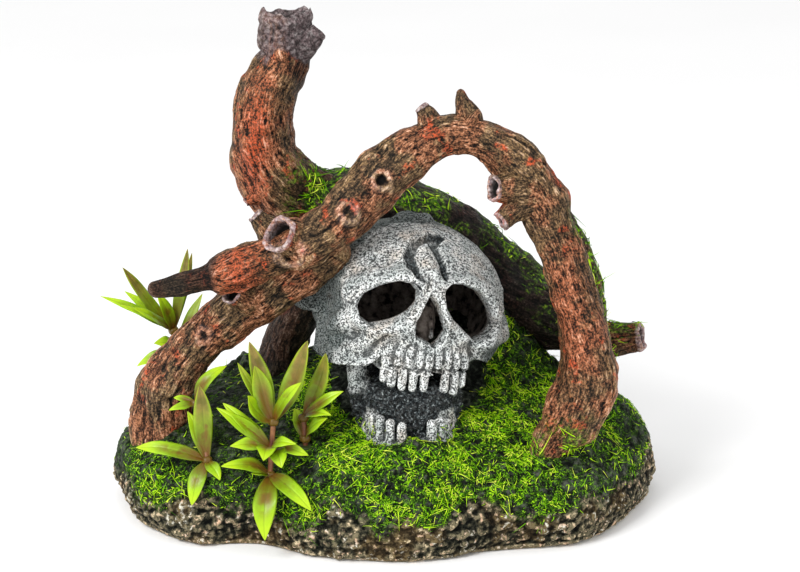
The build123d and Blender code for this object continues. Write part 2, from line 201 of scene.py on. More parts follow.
class Space:
    """A grid of points that holds one solid: the field is negative inside it."""

    def __init__(self, low, high, pitch):
        self.low, self.pitch = np.array(low, float), pitch
        lines = [np.arange(a, b, pitch, dtype=np.float32) for a, b in zip(low, high)]
        self.x, self.y, self.z = np.meshgrid(*lines, indexing="ij", sparse=True)
        self.field = np.full([len(line) for line in lines], OUTSIDE, np.float32)

    def near(self, points, reach):
        """The part of this space within reach of points. Its field is the same one."""
        points = np.atleast_2d(points)
        first = [max(0, int((a - b) / self.pitch)) for a, b in zip(points.min(axis=0) - reach, self.low)]
        last = [max(0, int((a - b) / self.pitch) + 2) for a, b in zip(points.max(axis=0) + reach, self.low)]
        i, j, k = (slice(a, b) for a, b in zip(first, last))
        part = Space.__new__(Space)
        part.x, part.y, part.z, part.field = self.x[i], self.y[:, j], self.z[:, :, k], self.field[i, j, k]
        return part

    def join(self, shape, soft=1.0, cut=False):
        """Adds a shape to the solid, or cuts it out, with a fillet about soft wide."""
        other = -shape if cut else shape
        side = -1 if cut else 1
        h = np.maximum(soft - np.abs(self.field - other), 0) / soft
        low = np.minimum(side * self.field, side * other)
        self.field[...] = side * (low - h * h * soft / 4)

    def ellipsoid(self, centre, half):
        """About how far each point is from an ellipsoid."""
        q = [(v - c) / h for v, c, h in zip((self.x, self.y, self.z), centre, half)]
        far = np.sqrt(q[0] ** 2 + q[1] ** 2 + q[2] ** 2)
        steep = np.sqrt((q[0] / half[0]) ** 2 + (q[1] / half[1]) ** 2 + (q[2] / half[2]) ** 2)
        return far * (far - 1) / np.maximum(steep, 1e-6)

    def blob(self, centre, half, soft=1.0, cut=False):
        """Joins an ellipsoid."""
        reach = max(half) + 2 * soft + 1
        part = self.near(centre, reach)
        part.join(part.ellipsoid(centre, half), soft, cut)

    def rods(self, points, radii, soft=1.0, cut=False):
        """Joins a chain of tapered rods with round ends."""
        points = np.array(points, float)
        radii = np.broadcast_to(np.array(radii, float), len(points))
        reach = radii.max() + 2 * soft + 1
        part = self.near(points, reach)
        nearest = np.full(part.field.shape, OUTSIDE, np.float32)
        for a, b, ra, rb in zip(points, points[1:], radii, radii[1:]):
            d = b - a
            t = (part.x - a[0]) * d[0] + (part.y - a[1]) * d[1] + (part.z - a[2]) * d[2]
            t = np.clip(t / (d @ d), 0, 1)
            gap = (part.x - a[0] - t * d[0]) ** 2 + (part.y - a[1] - t * d[1]) ** 2 + (part.z - a[2] - t * d[2]) ** 2
            nearest = np.minimum(nearest, np.sqrt(gap) - (ra + t * (rb - ra)))
        part.join(nearest, soft, cut)

    def tooth(self, centre, turn, half, round_by, soft):
        """Joins a rounded block turned about Z."""
        reach = max(half) * 1.5 + soft + 1
        part = self.near(centre, reach)
        u = (part.x - centre[0]) * math.cos(turn) + (part.y - centre[1]) * math.sin(turn)
        v = -(part.x - centre[0]) * math.sin(turn) + (part.y - centre[1]) * math.cos(turn)
        q = [np.maximum(np.abs(w) - h + round_by, 0) for w, h in zip((u, v, part.z - centre[2]), half)]
        part.join(np.sqrt(q[0] ** 2 + q[1] ** 2 + q[2] ** 2) - round_by, soft)

    def outline(self, corners):
        """Distance to a closed outline in X and Z, the same at every Y."""
        return outline_distance(self.x, self.z, corners).astype(np.float32)

    def front(self, x, z, sink=0.0):
        """The point at x and z that lies sink behind the front of the solid."""
        i, k = round((x - self.low[0]) / self.pitch), round((z - self.low[2]) / self.pitch)
        return (x, self.low[1] + self.pitch * np.argmax(self.field[i, :, k] < 0) + sink, z)

    def mesh(self):
        """Points and quads on the surface."""
        inside = self.field < 0
        size = inside.shape
        count = np.zeros([n - 1 for n in size], np.int8)
        for i, j, k in np.ndindex(2, 2, 2):
            count += inside[i:size[0] - 1 + i, j:size[1] - 1 + j, k:size[2] - 1 + k]
        mixed = (count > 0) & (count < 8)
        number = np.full(mixed.shape, -1, np.int64)
        number[mixed] = np.arange(mixed.sum())
        cell = np.argwhere(mixed)
        total, hits = np.zeros((len(cell), 3)), np.zeros(len(cell))
        unit = np.eye(3, dtype=int)
        quads = []
        for axis in range(3):
            one, two = unit[(axis + 1) % 3], unit[(axis + 2) % 3]
            for i, j in np.ndindex(2, 2):
                start = cell + i * one + j * two
                a = self.field[tuple(start.T)]
                b = self.field[tuple((start + unit[axis]).T)]
                crosses = (a < 0) != (b < 0)
                t = np.where(crosses, a / np.where(a == b, 1, a - b), 0)
                total += np.where(crosses[:, None], i * one + j * two + unit[axis] * t[:, None], 0)
                hits += crosses
            here = [slice(1, -1)] * 3
            there = list(here)
            here[axis], there[axis] = slice(0, -1), slice(1, None)
            edge = inside[tuple(here)] != inside[tuple(there)]
            at = np.argwhere(edge) + 1 - unit[axis]
            at = at[(at < np.array(mixed.shape)).all(axis=1)]
            ring = [at, at - one, at - one - two, at - two]
            quad = np.stack([number[tuple(p.T)] for p in ring], axis=-1)
            flip = inside[tuple(at.T)]
            quad[~flip] = quad[~flip][:, ::-1]
            quads.append(quad[(quad >= 0).all(axis=1)])
        verts = self.low + self.pitch * (cell + total / hits[:, None])
        return verts, np.vstack(quads)


def outline_distance(x, z, corners):
    """Signed distance to a closed outline, negative inside."""
    corners = np.array(corners, float)
    inside = np.zeros(np.broadcast(x, z).shape, bool)
    best = np.full(inside.shape, 1e9)
    for a, b in zip(corners, np.roll(corners, -1, axis=0)):
        d = b - a
        t = np.clip(((x - a[0]) * d[0] + (z - a[1]) * d[1]) / (d @ d), 0, 1)
        best = np.minimum(best, (x - a[0] - t * d[0]) ** 2 + (z - a[1] - t * d[1]) ** 2)
        spans = (a[1] > z) != (b[1] > z)
        rise = d[1] if d[1] else 1e-9
        inside ^= spans & (x < a[0] + (z - a[1]) * d[0] / rise)
    return np.where(inside, -1, 1) * np.sqrt(best)


# ---- Skull, in its own frame with the face towards -Y
SKULL_AT, SKULL_TURN = (8.0, 4.0, 76.0), (-10.0, 6.0, 15.0)
CRANIUM, HOLLOW = (34.5, 37.0, 29.0), (30.0, 32.0, 24.5)
LEFT_EYE = [
    (-24.0, 0.7), (-22.8, 4.4), (-18.3, 7.9), (-12.6, 10.0), (-8.6, 9.6), (-6.8, 7.5), (-7.0, 4.3), (-10.1, 1.0),
    (-14.9, -2.7), (-19.7, -4.9), (-23.5, -2.8),
]
RIGHT_EYE = [
    (4.4, 8.6), (5.8, 10.0), (9.9, 10.1), (16.3, 7.8), (22.2, 2.3), (25.6, -3.4), (23.2, -6.8), (18.0, -8.0),
    (13.2, -4.2), (8.2, -0.2), (5.2, 3.8),
]
NOSE = [
    (-2.4, 7.0), (-4.2, 2.0), (-5.4, -2.2), (-4.8, -7.2), (-1.2, -8.6), (1.6, -10.4), (3.4, -8.4), (4.4, -5.0),
    (2.6, -1.2), (-0.8, 4.6),
]
FACE = [
    (-30, 8), (-33, -4), (-34, -18.5), (-30, -21.5), (-20, -19.5), (-15, -15), (-14, -20), (14, -20), (15, -17),
    (20, -15.5), (25, -17), (30, -14), (32, -4), (30, 8),
]
MUZZLE_Y, MUZZLE_R, MUZZLE_LOW, MUZZLE_HIGH = -18.5, 16.0, -20.5, -4.0
UPPER_TEETH = [  # (x, height)
    (-14.0, 4.6), (-11.4, 6.0), (-7.9, 6.8), (-4.1, 6.8), (-0.4, 6.6), (7.4, 6.6), (11.0, 7.4), (14.2, 5.0),
]
# Cracks and the ridge between them, as (x, z) on the forehead.
CRACK = [(4.6, 24.9), (1.1, 24.8), (-4.6, 23.3), (-6.7, 21.2), (-8.4, 18.2), (-7.5, 15.0), (-6.6, 12.5), (-5.2, 9.6)]
CRACK_RIGHT = [(5.2, 25.0), (0.8, 22.2), (2.2, 18.7), (3.1, 15.3), (3.4, 12.1), (3.2, 8.6)]
RIDGE = [(-3.0, 20.0), (-1.8, 16.1), (-0.9, 11.9), (-0.7, 8.0)]


def turned(points, degrees):
    """Points turned about X, then Y, then Z of the turned frame, as the CAD part's skull is."""
    turn = np.eye(3)
    for axis, angle in enumerate(degrees):
        c, s = math.cos(math.radians(angle)), math.sin(math.radians(angle))
        i, j = (axis + 1) % 3, (axis + 2) % 3
        one = np.eye(3)
        one[i, i], one[i, j], one[j, i], one[j, j] = c, -s, s, c
        turn = turn @ one
    return points @ turn.T


def on_cranium(x, z, lift=0.0):
    """The point of the forehead at x and z."""
    depth = math.sqrt(max(0.0, 1 - (x / CRANIUM[0]) ** 2 - (z / CRANIUM[2]) ** 2))
    return (x, -CRANIUM[1] * depth - lift, z)


def carve_face(space, x, y, z):
    """Brow, cheeks, nose bone and muzzle."""
    space.join(np.maximum(np.maximum(y + 4, z + 10), x - 21 + 0.25 * y + 7), 3.0, cut=True)
    curve = (np.sqrt((x / 34.5) ** 2 + (y / 35.5) ** 2) - 1) * 35
    plate = np.maximum(np.maximum(curve, -(curve + 7.5)), space.outline(FACE) - 0.4)
    space.join(np.maximum(plate, y + 6), 2.5)
    muzzle = np.hypot(x, y - MUZZLE_Y) - MUZZLE_R + 0.05 * (z - MUZZLE_LOW)
    space.join(np.maximum(muzzle, np.abs(z - (MUZZLE_LOW + MUZZLE_HIGH) / 2) - (MUZZLE_HIGH - MUZZLE_LOW) / 2), 2.5)
    left_brow = [on_cranium(-27, 4), on_cranium(-20, 10.5, 0.6), on_cranium(-12, 12, 1), on_cranium(-5, 9.5)]
    right_brow = [on_cranium(5, 10), on_cranium(13, 11.5, 0.8), on_cranium(21, 8.5, 0.4), on_cranium(26, 2)]
    space.rods(left_brow, 3.0, 3.0)
    space.rods(right_brow, 2.8, 3.0)
    space.rods([(-0.5, -35.5, 9), (-3.2, -37.8, 6), (-5.6, -36.5, 0)], [2.6, 2.0, 1.6], 2.5)
    space.rods([(0.5, -35.5, 9), (0.4, -38.4, 5.5), (3.4, -37.6, -1)], [2.6, 2.2, 1.7], 2.5)
    space.rods([(-22, -28, -3.5), (-31, -18, -7), (-37, -3, -3), (-36, 12, -4)], [3.4, 4.0, 3.2, 3.4], 3.0)
    space.rods([(22, -28, -9), (31, -17, -8), (34.5, -3, -5)], [3.2, 3.6, 3.0], 3.0)
    space.rods([(-9, -35, -5), (-17, -31, -9), (-24, -26, -14)], [2.4, 2.2, 1.6], 3.0)
    space.blob((-37.5, -14, 1), (7.5, 11, 13), 3.0, cut=True)
    space.blob((37.5, -17, 8), (4, 8, 8), 4.0, cut=True)
    space.blob((-2, 0, 29), (5, 4, 2.6), 3.0)
    space.blob((4, 0, 28.6), (2.4, 3, 2.8), 2.0)
    space.blob((-15.5, -35.5, -13.5), (5.5, 4.0, 5.5), 3.0, cut=True)
    space.blob((17, -34, -12), (4.0, 3.5, 5.0), 3.0, cut=True)


def carve_openings(space, x, y, z):
    """Eye sockets with raised rims, the nose and the hollow inside."""
    front = 1 - step(y, -14, -6)
    for outline in (LEFT_EYE, RIGHT_EYE):
        eye = space.outline(outline)
        space.field -= 1.0 * bump(eye - 2.4, 2.0) * front
        space.join(np.maximum(eye - 0.9 + 0.08 * (y + 30), y + 4), 1.6, cut=True)
    nose = space.outline(NOSE)
    space.field -= 0.6 * bump(nose - 1.5, 1.3) * front
    space.join(np.maximum(nose - 0.7 + 0.06 * (y + 36), y + 10), 1.0, cut=True)
    space.join(space.ellipsoid((0, 0, 0), HOLLOW), 1.0, cut=True)
    space.join(np.maximum(np.hypot(x, y) - 10, z), 1.0, cut=True)
    space.blob((-0.2, -27.5, -3.5), (3.4, 2.2, 7.5), 1.0)
    space.rods([(0.4, -29, 3), (0.8, -30.5, -2), (1.2, -31, -8)], [0.8, 0.9, 0.9], 1.0)


def carve_cracks(space, cracks, ridge):
    """The forked crack in the forehead, with a raised ridge in the fork, and small cracks."""
    space.rods(ridge, [2.3, 2.7, 2.6, 2.2], 1.4)
    space.rods(cracks[0], [1.4, 1.8, 2.4, 1.9, 1.7, 1.6, 1.5, 1.2], 0.4, cut=True)
    space.rods(cracks[1], [1.4, 1.6, 1.4, 1.2, 1.2, 1.1], 0.4, cut=True)
    brow = [on_cranium(-17, 10), on_cranium(-13.3, 12, 0.4), on_cranium(-11, 14.1), on_cranium(-8.6, 16.2)]
    space.rods(brow, 0.6, 0.8, cut=True)
    side = [on_cranium(-27.5, 5.5), on_cranium(-24.5, 6.5, 0.6), on_cranium(-22, 8.5, 0.6)]
    space.rods(side, 0.55, 0.6, cut=True)
    space.rods([(15.2, -31.4, -9), (16.6, -30.6, -13), (18.4, -29.2, -17)], [0.8, 1.3, 1.6], 1.0, cut=True)
    space.rods([(-15.4, -32.6, -8.5), (-18.2, -30.6, -12.5), (-20.6, -28.8, -16.5)], [0.7, 1.2, 1.5], 1.0, cut=True)


def carve_teeth(space):
    """The tooth roots on the muzzle and the teeth under it, with a gap where one is lost."""
    places = np.linspace(-13.6, 14.4, 9)
    between = (places[:-1] + places[1:]) / 2
    on_root, on_gap = ((1, -17.6, 0.6), (1, -15, 0.4), (0.9, -10, 1.0)), ((1, -19, 0), (1, -15, 0), (0.9, -11, 0))
    roots = [[space.front(x * lean, z, sink) for lean, z, sink in on_root] for x in places]
    gaps = [[space.front(x * lean, z, sink) for lean, z, sink in on_gap] for x in between]
    gum = [space.front(x, -19.6, 0.1) for x in np.linspace(-15, 15.5, 12)]
    bases = [space.front(x, -18.5, 1.4) for x, _ in UPPER_TEETH]
    for line in roots:
        space.rods(line, [1.7, 1.4, 0.7], 0.7)
    for line in gaps:
        space.rods(line, [0.8, 0.6, 0.3], 0.6, cut=True)
    space.rods(gum, 0.9, 0.4, cut=True)
    for (x, y, _), (_, height) in zip(bases, UPPER_TEETH):
        width = 1.5 if height > 5.5 else 1.1
        turn = math.atan2(x, -(y - MUZZLE_Y))
        space.tooth((x, y, MUZZLE_LOW - height / 2 + 0.6), turn, (width, 1.7, height / 2 + 0.8), 1.45, 0.1)
    space.blob(space.front(3.6, -20, 1.5), (2.4, 2.6, 2.4), 1.0, cut=True)


def pitted(verts, faces, seed, size, depth):
    """The points with weathered pits and low swellings, and how dark each pit is."""
    out = normals(verts, faces)
    warp = verts + 0.8 * np.stack([layered(verts, 3.0, 2, seed + k) for k in range(3)], axis=-1)
    pit = 1 - step(cells(warp, size, seed), 0.16, 0.52)
    pit *= step(noise(verts, 6.0, seed + 5), 0.25, 0.6)
    lump = layered(verts, 7.0, 3, seed + 9)
    return verts + out * (0.5 * lump - depth * pit)[:, None], pit * 0.8


def skull():
    """The hollow cranium with its upper jaw."""
    space = Space((-45, -44, -31), (42, 41, 34), 0.6)
    x, y, z = space.x, space.y, space.z
    space.join(space.ellipsoid((0, 0, 0), CRANIUM), 1.0)
    carve_face(space, x, y, z)
    cracks = [[space.front(*spot, 0.7) for spot in line] for line in (CRACK, CRACK_RIGHT)]
    ridge = [space.front(*spot, 1.2) for spot in RIDGE]
    carve_openings(space, x, y, z)
    carve_cracks(space, cracks, ridge)
    carve_teeth(space)
    verts, faces = space.mesh()
    moved, pit = pitted(verts, faces, 3, 1.5, 0.4)
    hollow = ((verts / np.array(HOLLOW)) ** 2).sum(axis=1)
    inner = 1 - step(hollow, 1.0, 1.2)
    groove = np.full(len(verts), 99.0)
    for line, wide in zip(cracks, (2.4, 1.9)):
        for a, b in zip(line, line[1:]):
            for t in (0, 0.33, 0.67):
                spot = np.array(a) * (1 - t) + np.array(b) * t
                groove = np.minimum(groove, np.linalg.norm(verts - spot, axis=1) / wide)
    # The crack is painted near black: dark paint with painted shade in the groove.
    dark = 0.9 * (1 - step(groove, 0.62, 1.0)) * (1 - inner)
    # Painted shade on the skull's sides, darkest towards their edges and on the low right cheek, with some dark wash
    # on the left temple.
    across, back, up = verts.T
    side = back - 0.6 * np.maximum(up, 0) - 0.4 * np.maximum(-up - 8, 0) + 1.5 * layered(verts, 6.0, 2, 7)
    wash_and_shade = np.where(across < 0, step(side, -25.0, -22.0), 0.9 * step(back, -14, -2))
    wash_and_shade = np.maximum(wash_and_shade, step(across, 19, 25) * step(-up, 7, 13))
    placed = turned(moved, SKULL_TURN) + np.array(SKULL_AT)
    return placed, [faces], {
        "relief": relief(moved, faces), "dark": dark, "wash_and_shade": np.clip(wash_and_shade, 0, 1), "pit": pit, "inner": inner,
    }


# ---- Lower jaw
JAW_AT, JAW_MIDDLE_R = (9.0, -24.0), 13.8
LOWER_TEETH = [(-84, 6.5), (-65, 8.0), (-47, 8.4), (-29, 8.0), (-11, 7.6), (34, 7.6), (51, 7.2), (68, 5.6)]
JAW_BOTTOM, JAW_RIM = 25.0, 37.0


def lower_jaw():
    """The front of the lower jaw with worn teeth, the mouth's dark filling and the upright branch at the left."""
    space = Space((-16, -45, 22), (28, 4, 67), 0.5)
    x, y, z = space.x, space.y, space.z
    ring = np.abs(np.hypot(x - JAW_AT[0], y - JAW_AT[1]) - JAW_MIDDLE_R) - 2.2
    body = np.maximum(ring, np.abs(z - (JAW_BOTTOM + JAW_RIM) / 2) - (JAW_RIM - JAW_BOTTOM) / 2)
    space.join(np.maximum(body, y + 20), 1.5)
    space.rods([(-5.5, -22, 37), (-8, -18, 44), (-9.5, -17, 55), (-9.5, -18, 62)], [3.2, 3.6, 3.3, 3.5], 2.5)
    space.rods([(-9.5, -19, 57), (-9.8, -21, 50)], [3.1, 2.2], 2.0)
    mouth = np.maximum(np.hypot(x - 9.5, (y + 17.5) * 1.05) - 17, z - 54 - 0.06 * (x - 9))
    space.join(np.maximum(mouth, -y - 31.5 - 0.3 * (51 - z)), 2.5)
    for degrees, height in LOWER_TEETH:
        turn = math.radians(degrees)
        ahead, back = math.sin(turn), math.cos(turn)
        spot = (JAW_AT[0] + JAW_MIDDLE_R * ahead, JAW_AT[1] - JAW_MIDDLE_R * back, JAW_RIM + height / 2 - 0.5)
        space.tooth(spot, turn, (1.7, 1.7, height / 2 + 0.8), 1.4, 0.2)
        low = (spot[0] + 1.2 * ahead, spot[1] - 1.2 * back, JAW_RIM - 1)
        space.rods([low, (low[0], low[1], JAW_RIM - 6)], [1.5, 1.0], 1.2)
    verts, faces = space.mesh()
    radius = np.hypot(verts[:, 0] - JAW_AT[0], verts[:, 1] - JAW_AT[1])
    front = step(radius, 11.8, 12.6) * step(-verts[:, 1], 23.5, 25) * (1 - step(verts[:, 2], 45.3, 46.3))
    branch = step(-verts[:, 0], 5.0, 6.5) * step(verts[:, 2], 49, 52)
    # The rest is dark: the dark paint of the mouth's filling, with painted shade under the upper jaw.
    dark = 1 - np.maximum(front, branch)
    out = normals(verts, faces)
    grit = 1 - step(cells(verts, 2.8, 31), 0.1, 0.75)
    moved, pit = pitted(verts, faces, 33, 1.8, 0.35)
    moved = moved + out * (dark * (1.3 * grit + 1.4 * layered(verts, 5.0, 3, 35)))[:, None]
    # Darker towards the bottom of the jaw and a little on its upright branch.
    wash_and_shade = np.maximum(1 - step(verts[:, 2], 34, 40), 0.2 * branch)
    return moved, [faces], {
        "relief": relief(moved, faces), "dark": 0.95 * dark, "wash_and_shade": wash_and_shade, "pit": pit, "inner": np.zeros(len(verts)),
    }


# ---- Driftwood roots: each is a list of (x, y, z, radius) along its middle line
ROOT_ARCH = [
    (-79, -25, 89, 2.4), (-70, -24.4, 90.8, 3.8), (-61, -23.2, 92.6, 4.8), (-57.5, -22.8, 93.4, 7.0),
    (-50, -21.8, 95.5, 7.6), (-37, -20, 99.5, 7.8), (-21, -18, 107, 8.3), (-8, -15, 118, 8.2),
    (4, -12, 130, 8.6), (16, -10, 138, 7.8), (29, -10, 139.5, 7.3), (42, -12, 133.5, 8.3),
    (52, -14, 122, 8.6), (59, -17, 107, 7.8), (64.5, -20, 90, 7.8), (69.5, -22, 73, 8.8),
    (71, -24, 57, 10.2), (66, -26, 44, 9.8), (60, -28, 35.5, 7.4), (54, -31, 28, 3.4),
]
LEFT_LEG = [
    (-79, -6, 14, 10.5), (-81, -5, 30, 10.5), (-78, -5, 47, 9.5), (-68, -7, 61, 9.3),
    (-55, -9, 73, 9.3), (-42, -10, 83, 9.0), (-28, -11, 93, 8.5), (-16, -11, 101, 7.5),
]
STUMP = [
    (-34, 22, 173, 8.6), (-33.8, 22, 166, 9.6), (-34.6, 22, 159.5, 8.4), (-38.6, 22, 153.5, 10.0),
    (-41.3, 22, 147.5, 11.2), (-43.4, 22, 139, 11.4), (-43.9, 22, 130, 11.6), (-42, 22, 121, 12.4),
    (-35, 24, 110.5, 13.0), (-22, 28, 103, 11.0),
]
BACK_ROOT = [
    (-32, 25, 102, 12.0), (-14, 30, 104, 14.0), (5, 34, 100, 14.0), (24, 37, 88.5, 13.0),
    (42, 36, 74, 13.0), (61, 32, 60.5, 12.0), (79, 26, 52.5, 8.0), (94, 21, 55, 4.6),
]
BACK_LEG = [(-16, 30, 88, 8.0), (-28, 29, 70, 8.0), (-37, 29, 52, 8.5), (-44, 29, 30, 9.0)]
RIGHT_PROP = [
    (56, -3, 117, 4.0), (65, 1, 101, 6.0), (71, 4, 84, 6.5), (75, 8, 66, 7.0), (76, 12, 46, 8.0),
    (76, 14, 28, 9.0),
]
# Side branches of the arch, each with how it ends.
ARCH_BRANCHES = [
    ([(29, -9, 140, 6.0), (28.3, -9, 147, 4.2), (27, -8.5, 151, 2.6), (26.5, -8, 154, 1.6)], "point"),
    ([(28, -12, 141, 4.0), (30.5, -13, 146, 2.0), (32, -13, 148.5, 0.9)], "point"),
    ([(17, -9, 140, 5.0), (15, -8.5, 146, 3.4), (13.5, -8, 148.5, 2.2)], "broken"),
    ([(-28, -19, 101, 8.0), (-32, -21.5, 105.5, 6.8), (-35, -25.5, 108.5, 6.2)], "hollow"),
    ([(-34, -15, 101, 6.5), (-40, -14, 107, 4.6), (-44, -13.5, 111.5, 2.6)], "broken"),
    ([(53, -15, 121, 6.5), (45, -19, 123, 5.6), (38.5, -22, 123.6, 4.2)], "broken"),
    ([(54, -16, 119, 6.0), (46, -20, 116.5, 4.6), (41, -22, 113, 3.2)], "broken"),
]
LEG_BRANCH = [(-46, -13, 80, 6.0), (-50, -19, 84, 4.6), (-52, -22, 86, 3.8)]
STUMP_KNOBS = [
    [(-42, 18, 112, 4.0), (-46.5, 16, 110, 2.4), (-49.5, 15, 109, 1.4)],
    [(-31, 20, 163, 5.0), (-26.5, 18, 167, 4.2), (-23.8, 17.5, 170, 3.0)],
]
# Ring knots: (x, y, z, radius, depth of the hole).
ARCH_KNOTS = [
    (-31.5, -26.5, 102, 3.4, 2.6), (-0.5, -20.5, 126.5, 2.4, 1.8), (-12, -23.5, 116, 2.6, 0.3),
]
LEG_KNOTS = [(-63, -15.5, 69, 2.2, 1.2)]
END_SHAPES = {  # how each kind of end closes: (share of the radius, share of the radius pushed out)
    "point": [(0.92, 0.25), (0.75, 0.5), (0.5, 0.72), (0.25, 0.84), (0.02, 0.9)],
    "broken": [
        (1.04, 0.12), (1.02, 0.3), (0.93, 0.42), (0.82, 0.3), (0.68, 0.08), (0.5, -0.1), (0.3, -0.2), (0.02, -0.2),
    ],
    "hollow": [
        (1.04, 0.12), (1.0, 0.3), (0.9, 0.38), (0.78, 0.28), (0.7, 0.0), (0.62, -0.4), (0.4, -0.6), (0.02, -0.6),
    ],
    "buried": [(0.85, 0.2), (0.5, 0.35), (0.02, 0.4)],
}
OPEN_ENDS = {"broken": 1.0, "hollow": 0.35}  # how ragged the rim is


def spline(stations, spacing):
    """Evenly spaced points on a smooth curve through the stations, and how far along each is."""
    p = np.array(stations, float)
    p = np.vstack([2 * p[0] - p[1], p, 2 * p[-1] - p[-2]])
    t = np.linspace(0, 1, 40, endpoint=False)[:, None]
    fine = []
    for a, b, c, d in zip(p, p[1:], p[2:], p[3:]):
        fine.append(0.5 * (2 * b + (c - a) * t + (2 * a - 5 * b + 4 * c - d) * t**2 + (3 * b - a - 3 * c + d) * t**3))
    fine = np.vstack([*fine, p[-2:-1]])
    run = np.concatenate([[0], np.cumsum(np.linalg.norm(np.diff(fine[:, :3], axis=0), axis=1))])
    at = np.linspace(0, run[-1], int(run[-1] / spacing) + 3)
    return np.stack([np.interp(at, run, fine[:, k]) for k in range(fine.shape[1])], axis=-1), at


def carry(centre):
    """A tangent and two sideways directions at each point, which don't spin along the line."""
    tangent = np.gradient(centre, axis=0)
    tangent /= np.linalg.norm(tangent, axis=1, keepdims=True)
    side = np.zeros_like(tangent)
    last = np.cross(tangent[0], (0.31, -0.85, 0.42))
    for i, t in enumerate(tangent):
        last = last - t * (last @ t)
        last = last / np.linalg.norm(last)
        side[i] = last
    return tangent, side, np.cross(tangent, side)


def bark_depth(points, grain, thick, seed):
    """How far bark stands out: long furrows, finer grain and slow swellings."""
    warp = grain + 1.1 * np.stack([layered(points, 9.0, 2, seed + 20 + k) for k in range(3)], axis=-1)
    deep = 1 - step(furrows(warp, 3.6, 2, seed), 0.0, 0.22)
    fine = layered(warp, 1.4, 3, seed + 4)
    slow = layered(points, 12.0, 3, seed + 8)
    wart = 1 - step(cells(points, 7.5, seed + 12), 0.1, 0.55)
    return np.clip(thick / 7, 0.25, 1) * (2.4 * slow + 0.6 * fine + 0.25 * wart - 0.9 * deep)


def root(stations, ends, seed, knots=(), spacing=0.62, around=96, stretch=5.0):
    """A root with bark, knots and the given two ends: its points, faces and attributes."""
    line, run = spline(stations, spacing)
    centre, radius = line[:, :3], line[:, 3]
    tangent, side, up = carry(centre)
    rows = [(i, 1.0, 0.0, tangent[i], 0.0) for i in range(len(centre))]
    for which, end in zip((0, -1), ends):
        outward = tangent[which] * (-1 if which == 0 else 1)
        is_open = float(end in OPEN_ENDS)
        cap = [(which, share, push * radius[which], outward, is_open) for share, push in END_SHAPES[end]]
        rows = cap[::-1] + rows if which == 0 else rows + cap
    index, share, push, outward, broken = (np.array(column) for column in zip(*rows))
    turn, at = np.linspace(0, 2 * math.pi, around, endpoint=False), run[index][:, None]
    spin = turn[None] + 0.012 * at
    away = side[index][:, None] * np.cos(turn)[None, :, None] + up[index][:, None] * np.sin(turn)[None, :, None]
    oval = 1 + 0.07 * np.cos(2 * spin + at * 0.05) + 0.04 * np.cos(3 * spin - at * 0.08)
    reach = (radius[index] * share)[:, None] * oval
    verts = centre[index][:, None] + away * reach[..., None] + (outward * push[:, None])[:, None]

    def spread(values):
        """A value per row as one per point."""
        return np.broadcast_to(values[:, None], reach.shape).ravel()

    thin = radius.mean() * share[:, None]
    along = np.broadcast_to((at + push[:, None]) / stretch, reach.shape)
    grain = np.stack([along, thin * np.cos(spin), thin * np.sin(spin)], axis=-1)
    verts, grain, away = (a.reshape(-1, 3) for a in (verts, grain, away))
    thick, inner, broken = spread(radius[index]), spread(share), spread(broken)
    depth = bark_depth(verts, grain, thick, seed) * np.clip(inner, 0, 1)
    # Knot holes are painted near black, darker the deeper they sink, and so are the middles of open ends: painted
    # shade in the hollows.
    pale, hole = broken, np.zeros(len(verts))
    for x, y, z, size, sink in knots:
        far = np.linalg.norm(verts - (x, y, z), axis=1) + 1.3 * layered(verts, 3.5, 3, seed + 60)
        inside = 1 - step(far, 0.45 * size, 1.0 * size)
        rim = bump(far - 1.25 * size, 0.42 * size)
        depth += 1.1 * rim - sink * inside
        pale = np.maximum(pale, 0.25 * rim)
        hole = np.maximum(hole, inside * min(1.0, sink / 1.2))
    ragged = min(OPEN_ENDS.get(end, 1.0) for end in ends)
    jag = broken * (2.6 * noise(verts * 1.6, 3.2, seed + 70) - 1.1) * ragged
    outward = np.repeat(outward, around, axis=0)
    verts = verts + away * depth[:, None] + outward * (jag * np.clip(thick / 6, 0.5, 1.3) * inner)[:, None]
    # The middle of an open end is painted near black: painted shade.
    hole = np.maximum(hole, broken * step(-inner, -0.82, -0.62) * (thick > 3))
    faces = tube_faces(len(rows), around)
    return verts, [faces], {"relief": relief(verts, faces), "pale": pale, "hole": hole, "grain": grain}


def moss_on(verts, faces, low, high, seed):
    """How mossy each point is: more on top, in patches."""
    facing = normals(verts, faces)[:, 2]
    patch = noise(verts, 11.0, seed) + 0.35 * noise(verts, 2.75, seed + 1)
    return step(facing * 0.55 + patch, low, high)


def wood(node, parts, material, **paint):
    """One root and its branches as a piece. Paint says how warm, moss and ash coloured its points are, and how dark:
    painted shade on back sides and rear roots, dark paint on some tips and caps.
    """
    verts, faces, values = merge(parts)
    if "ash" in paint:
        values["pale"] = np.maximum(0.5 * values["pale"], paint["ash"](verts))
    for key in ("warm", "moss", "dull"):
        values[key] = paint[key](verts) if key in paint else np.zeros(len(verts))
    piece(f"{node}_carved", verts, faces, material, "driftwood", [node], **values)
    return verts, values["moss"], np.vstack([normals(part[0], part[1][0]) for part in parts])


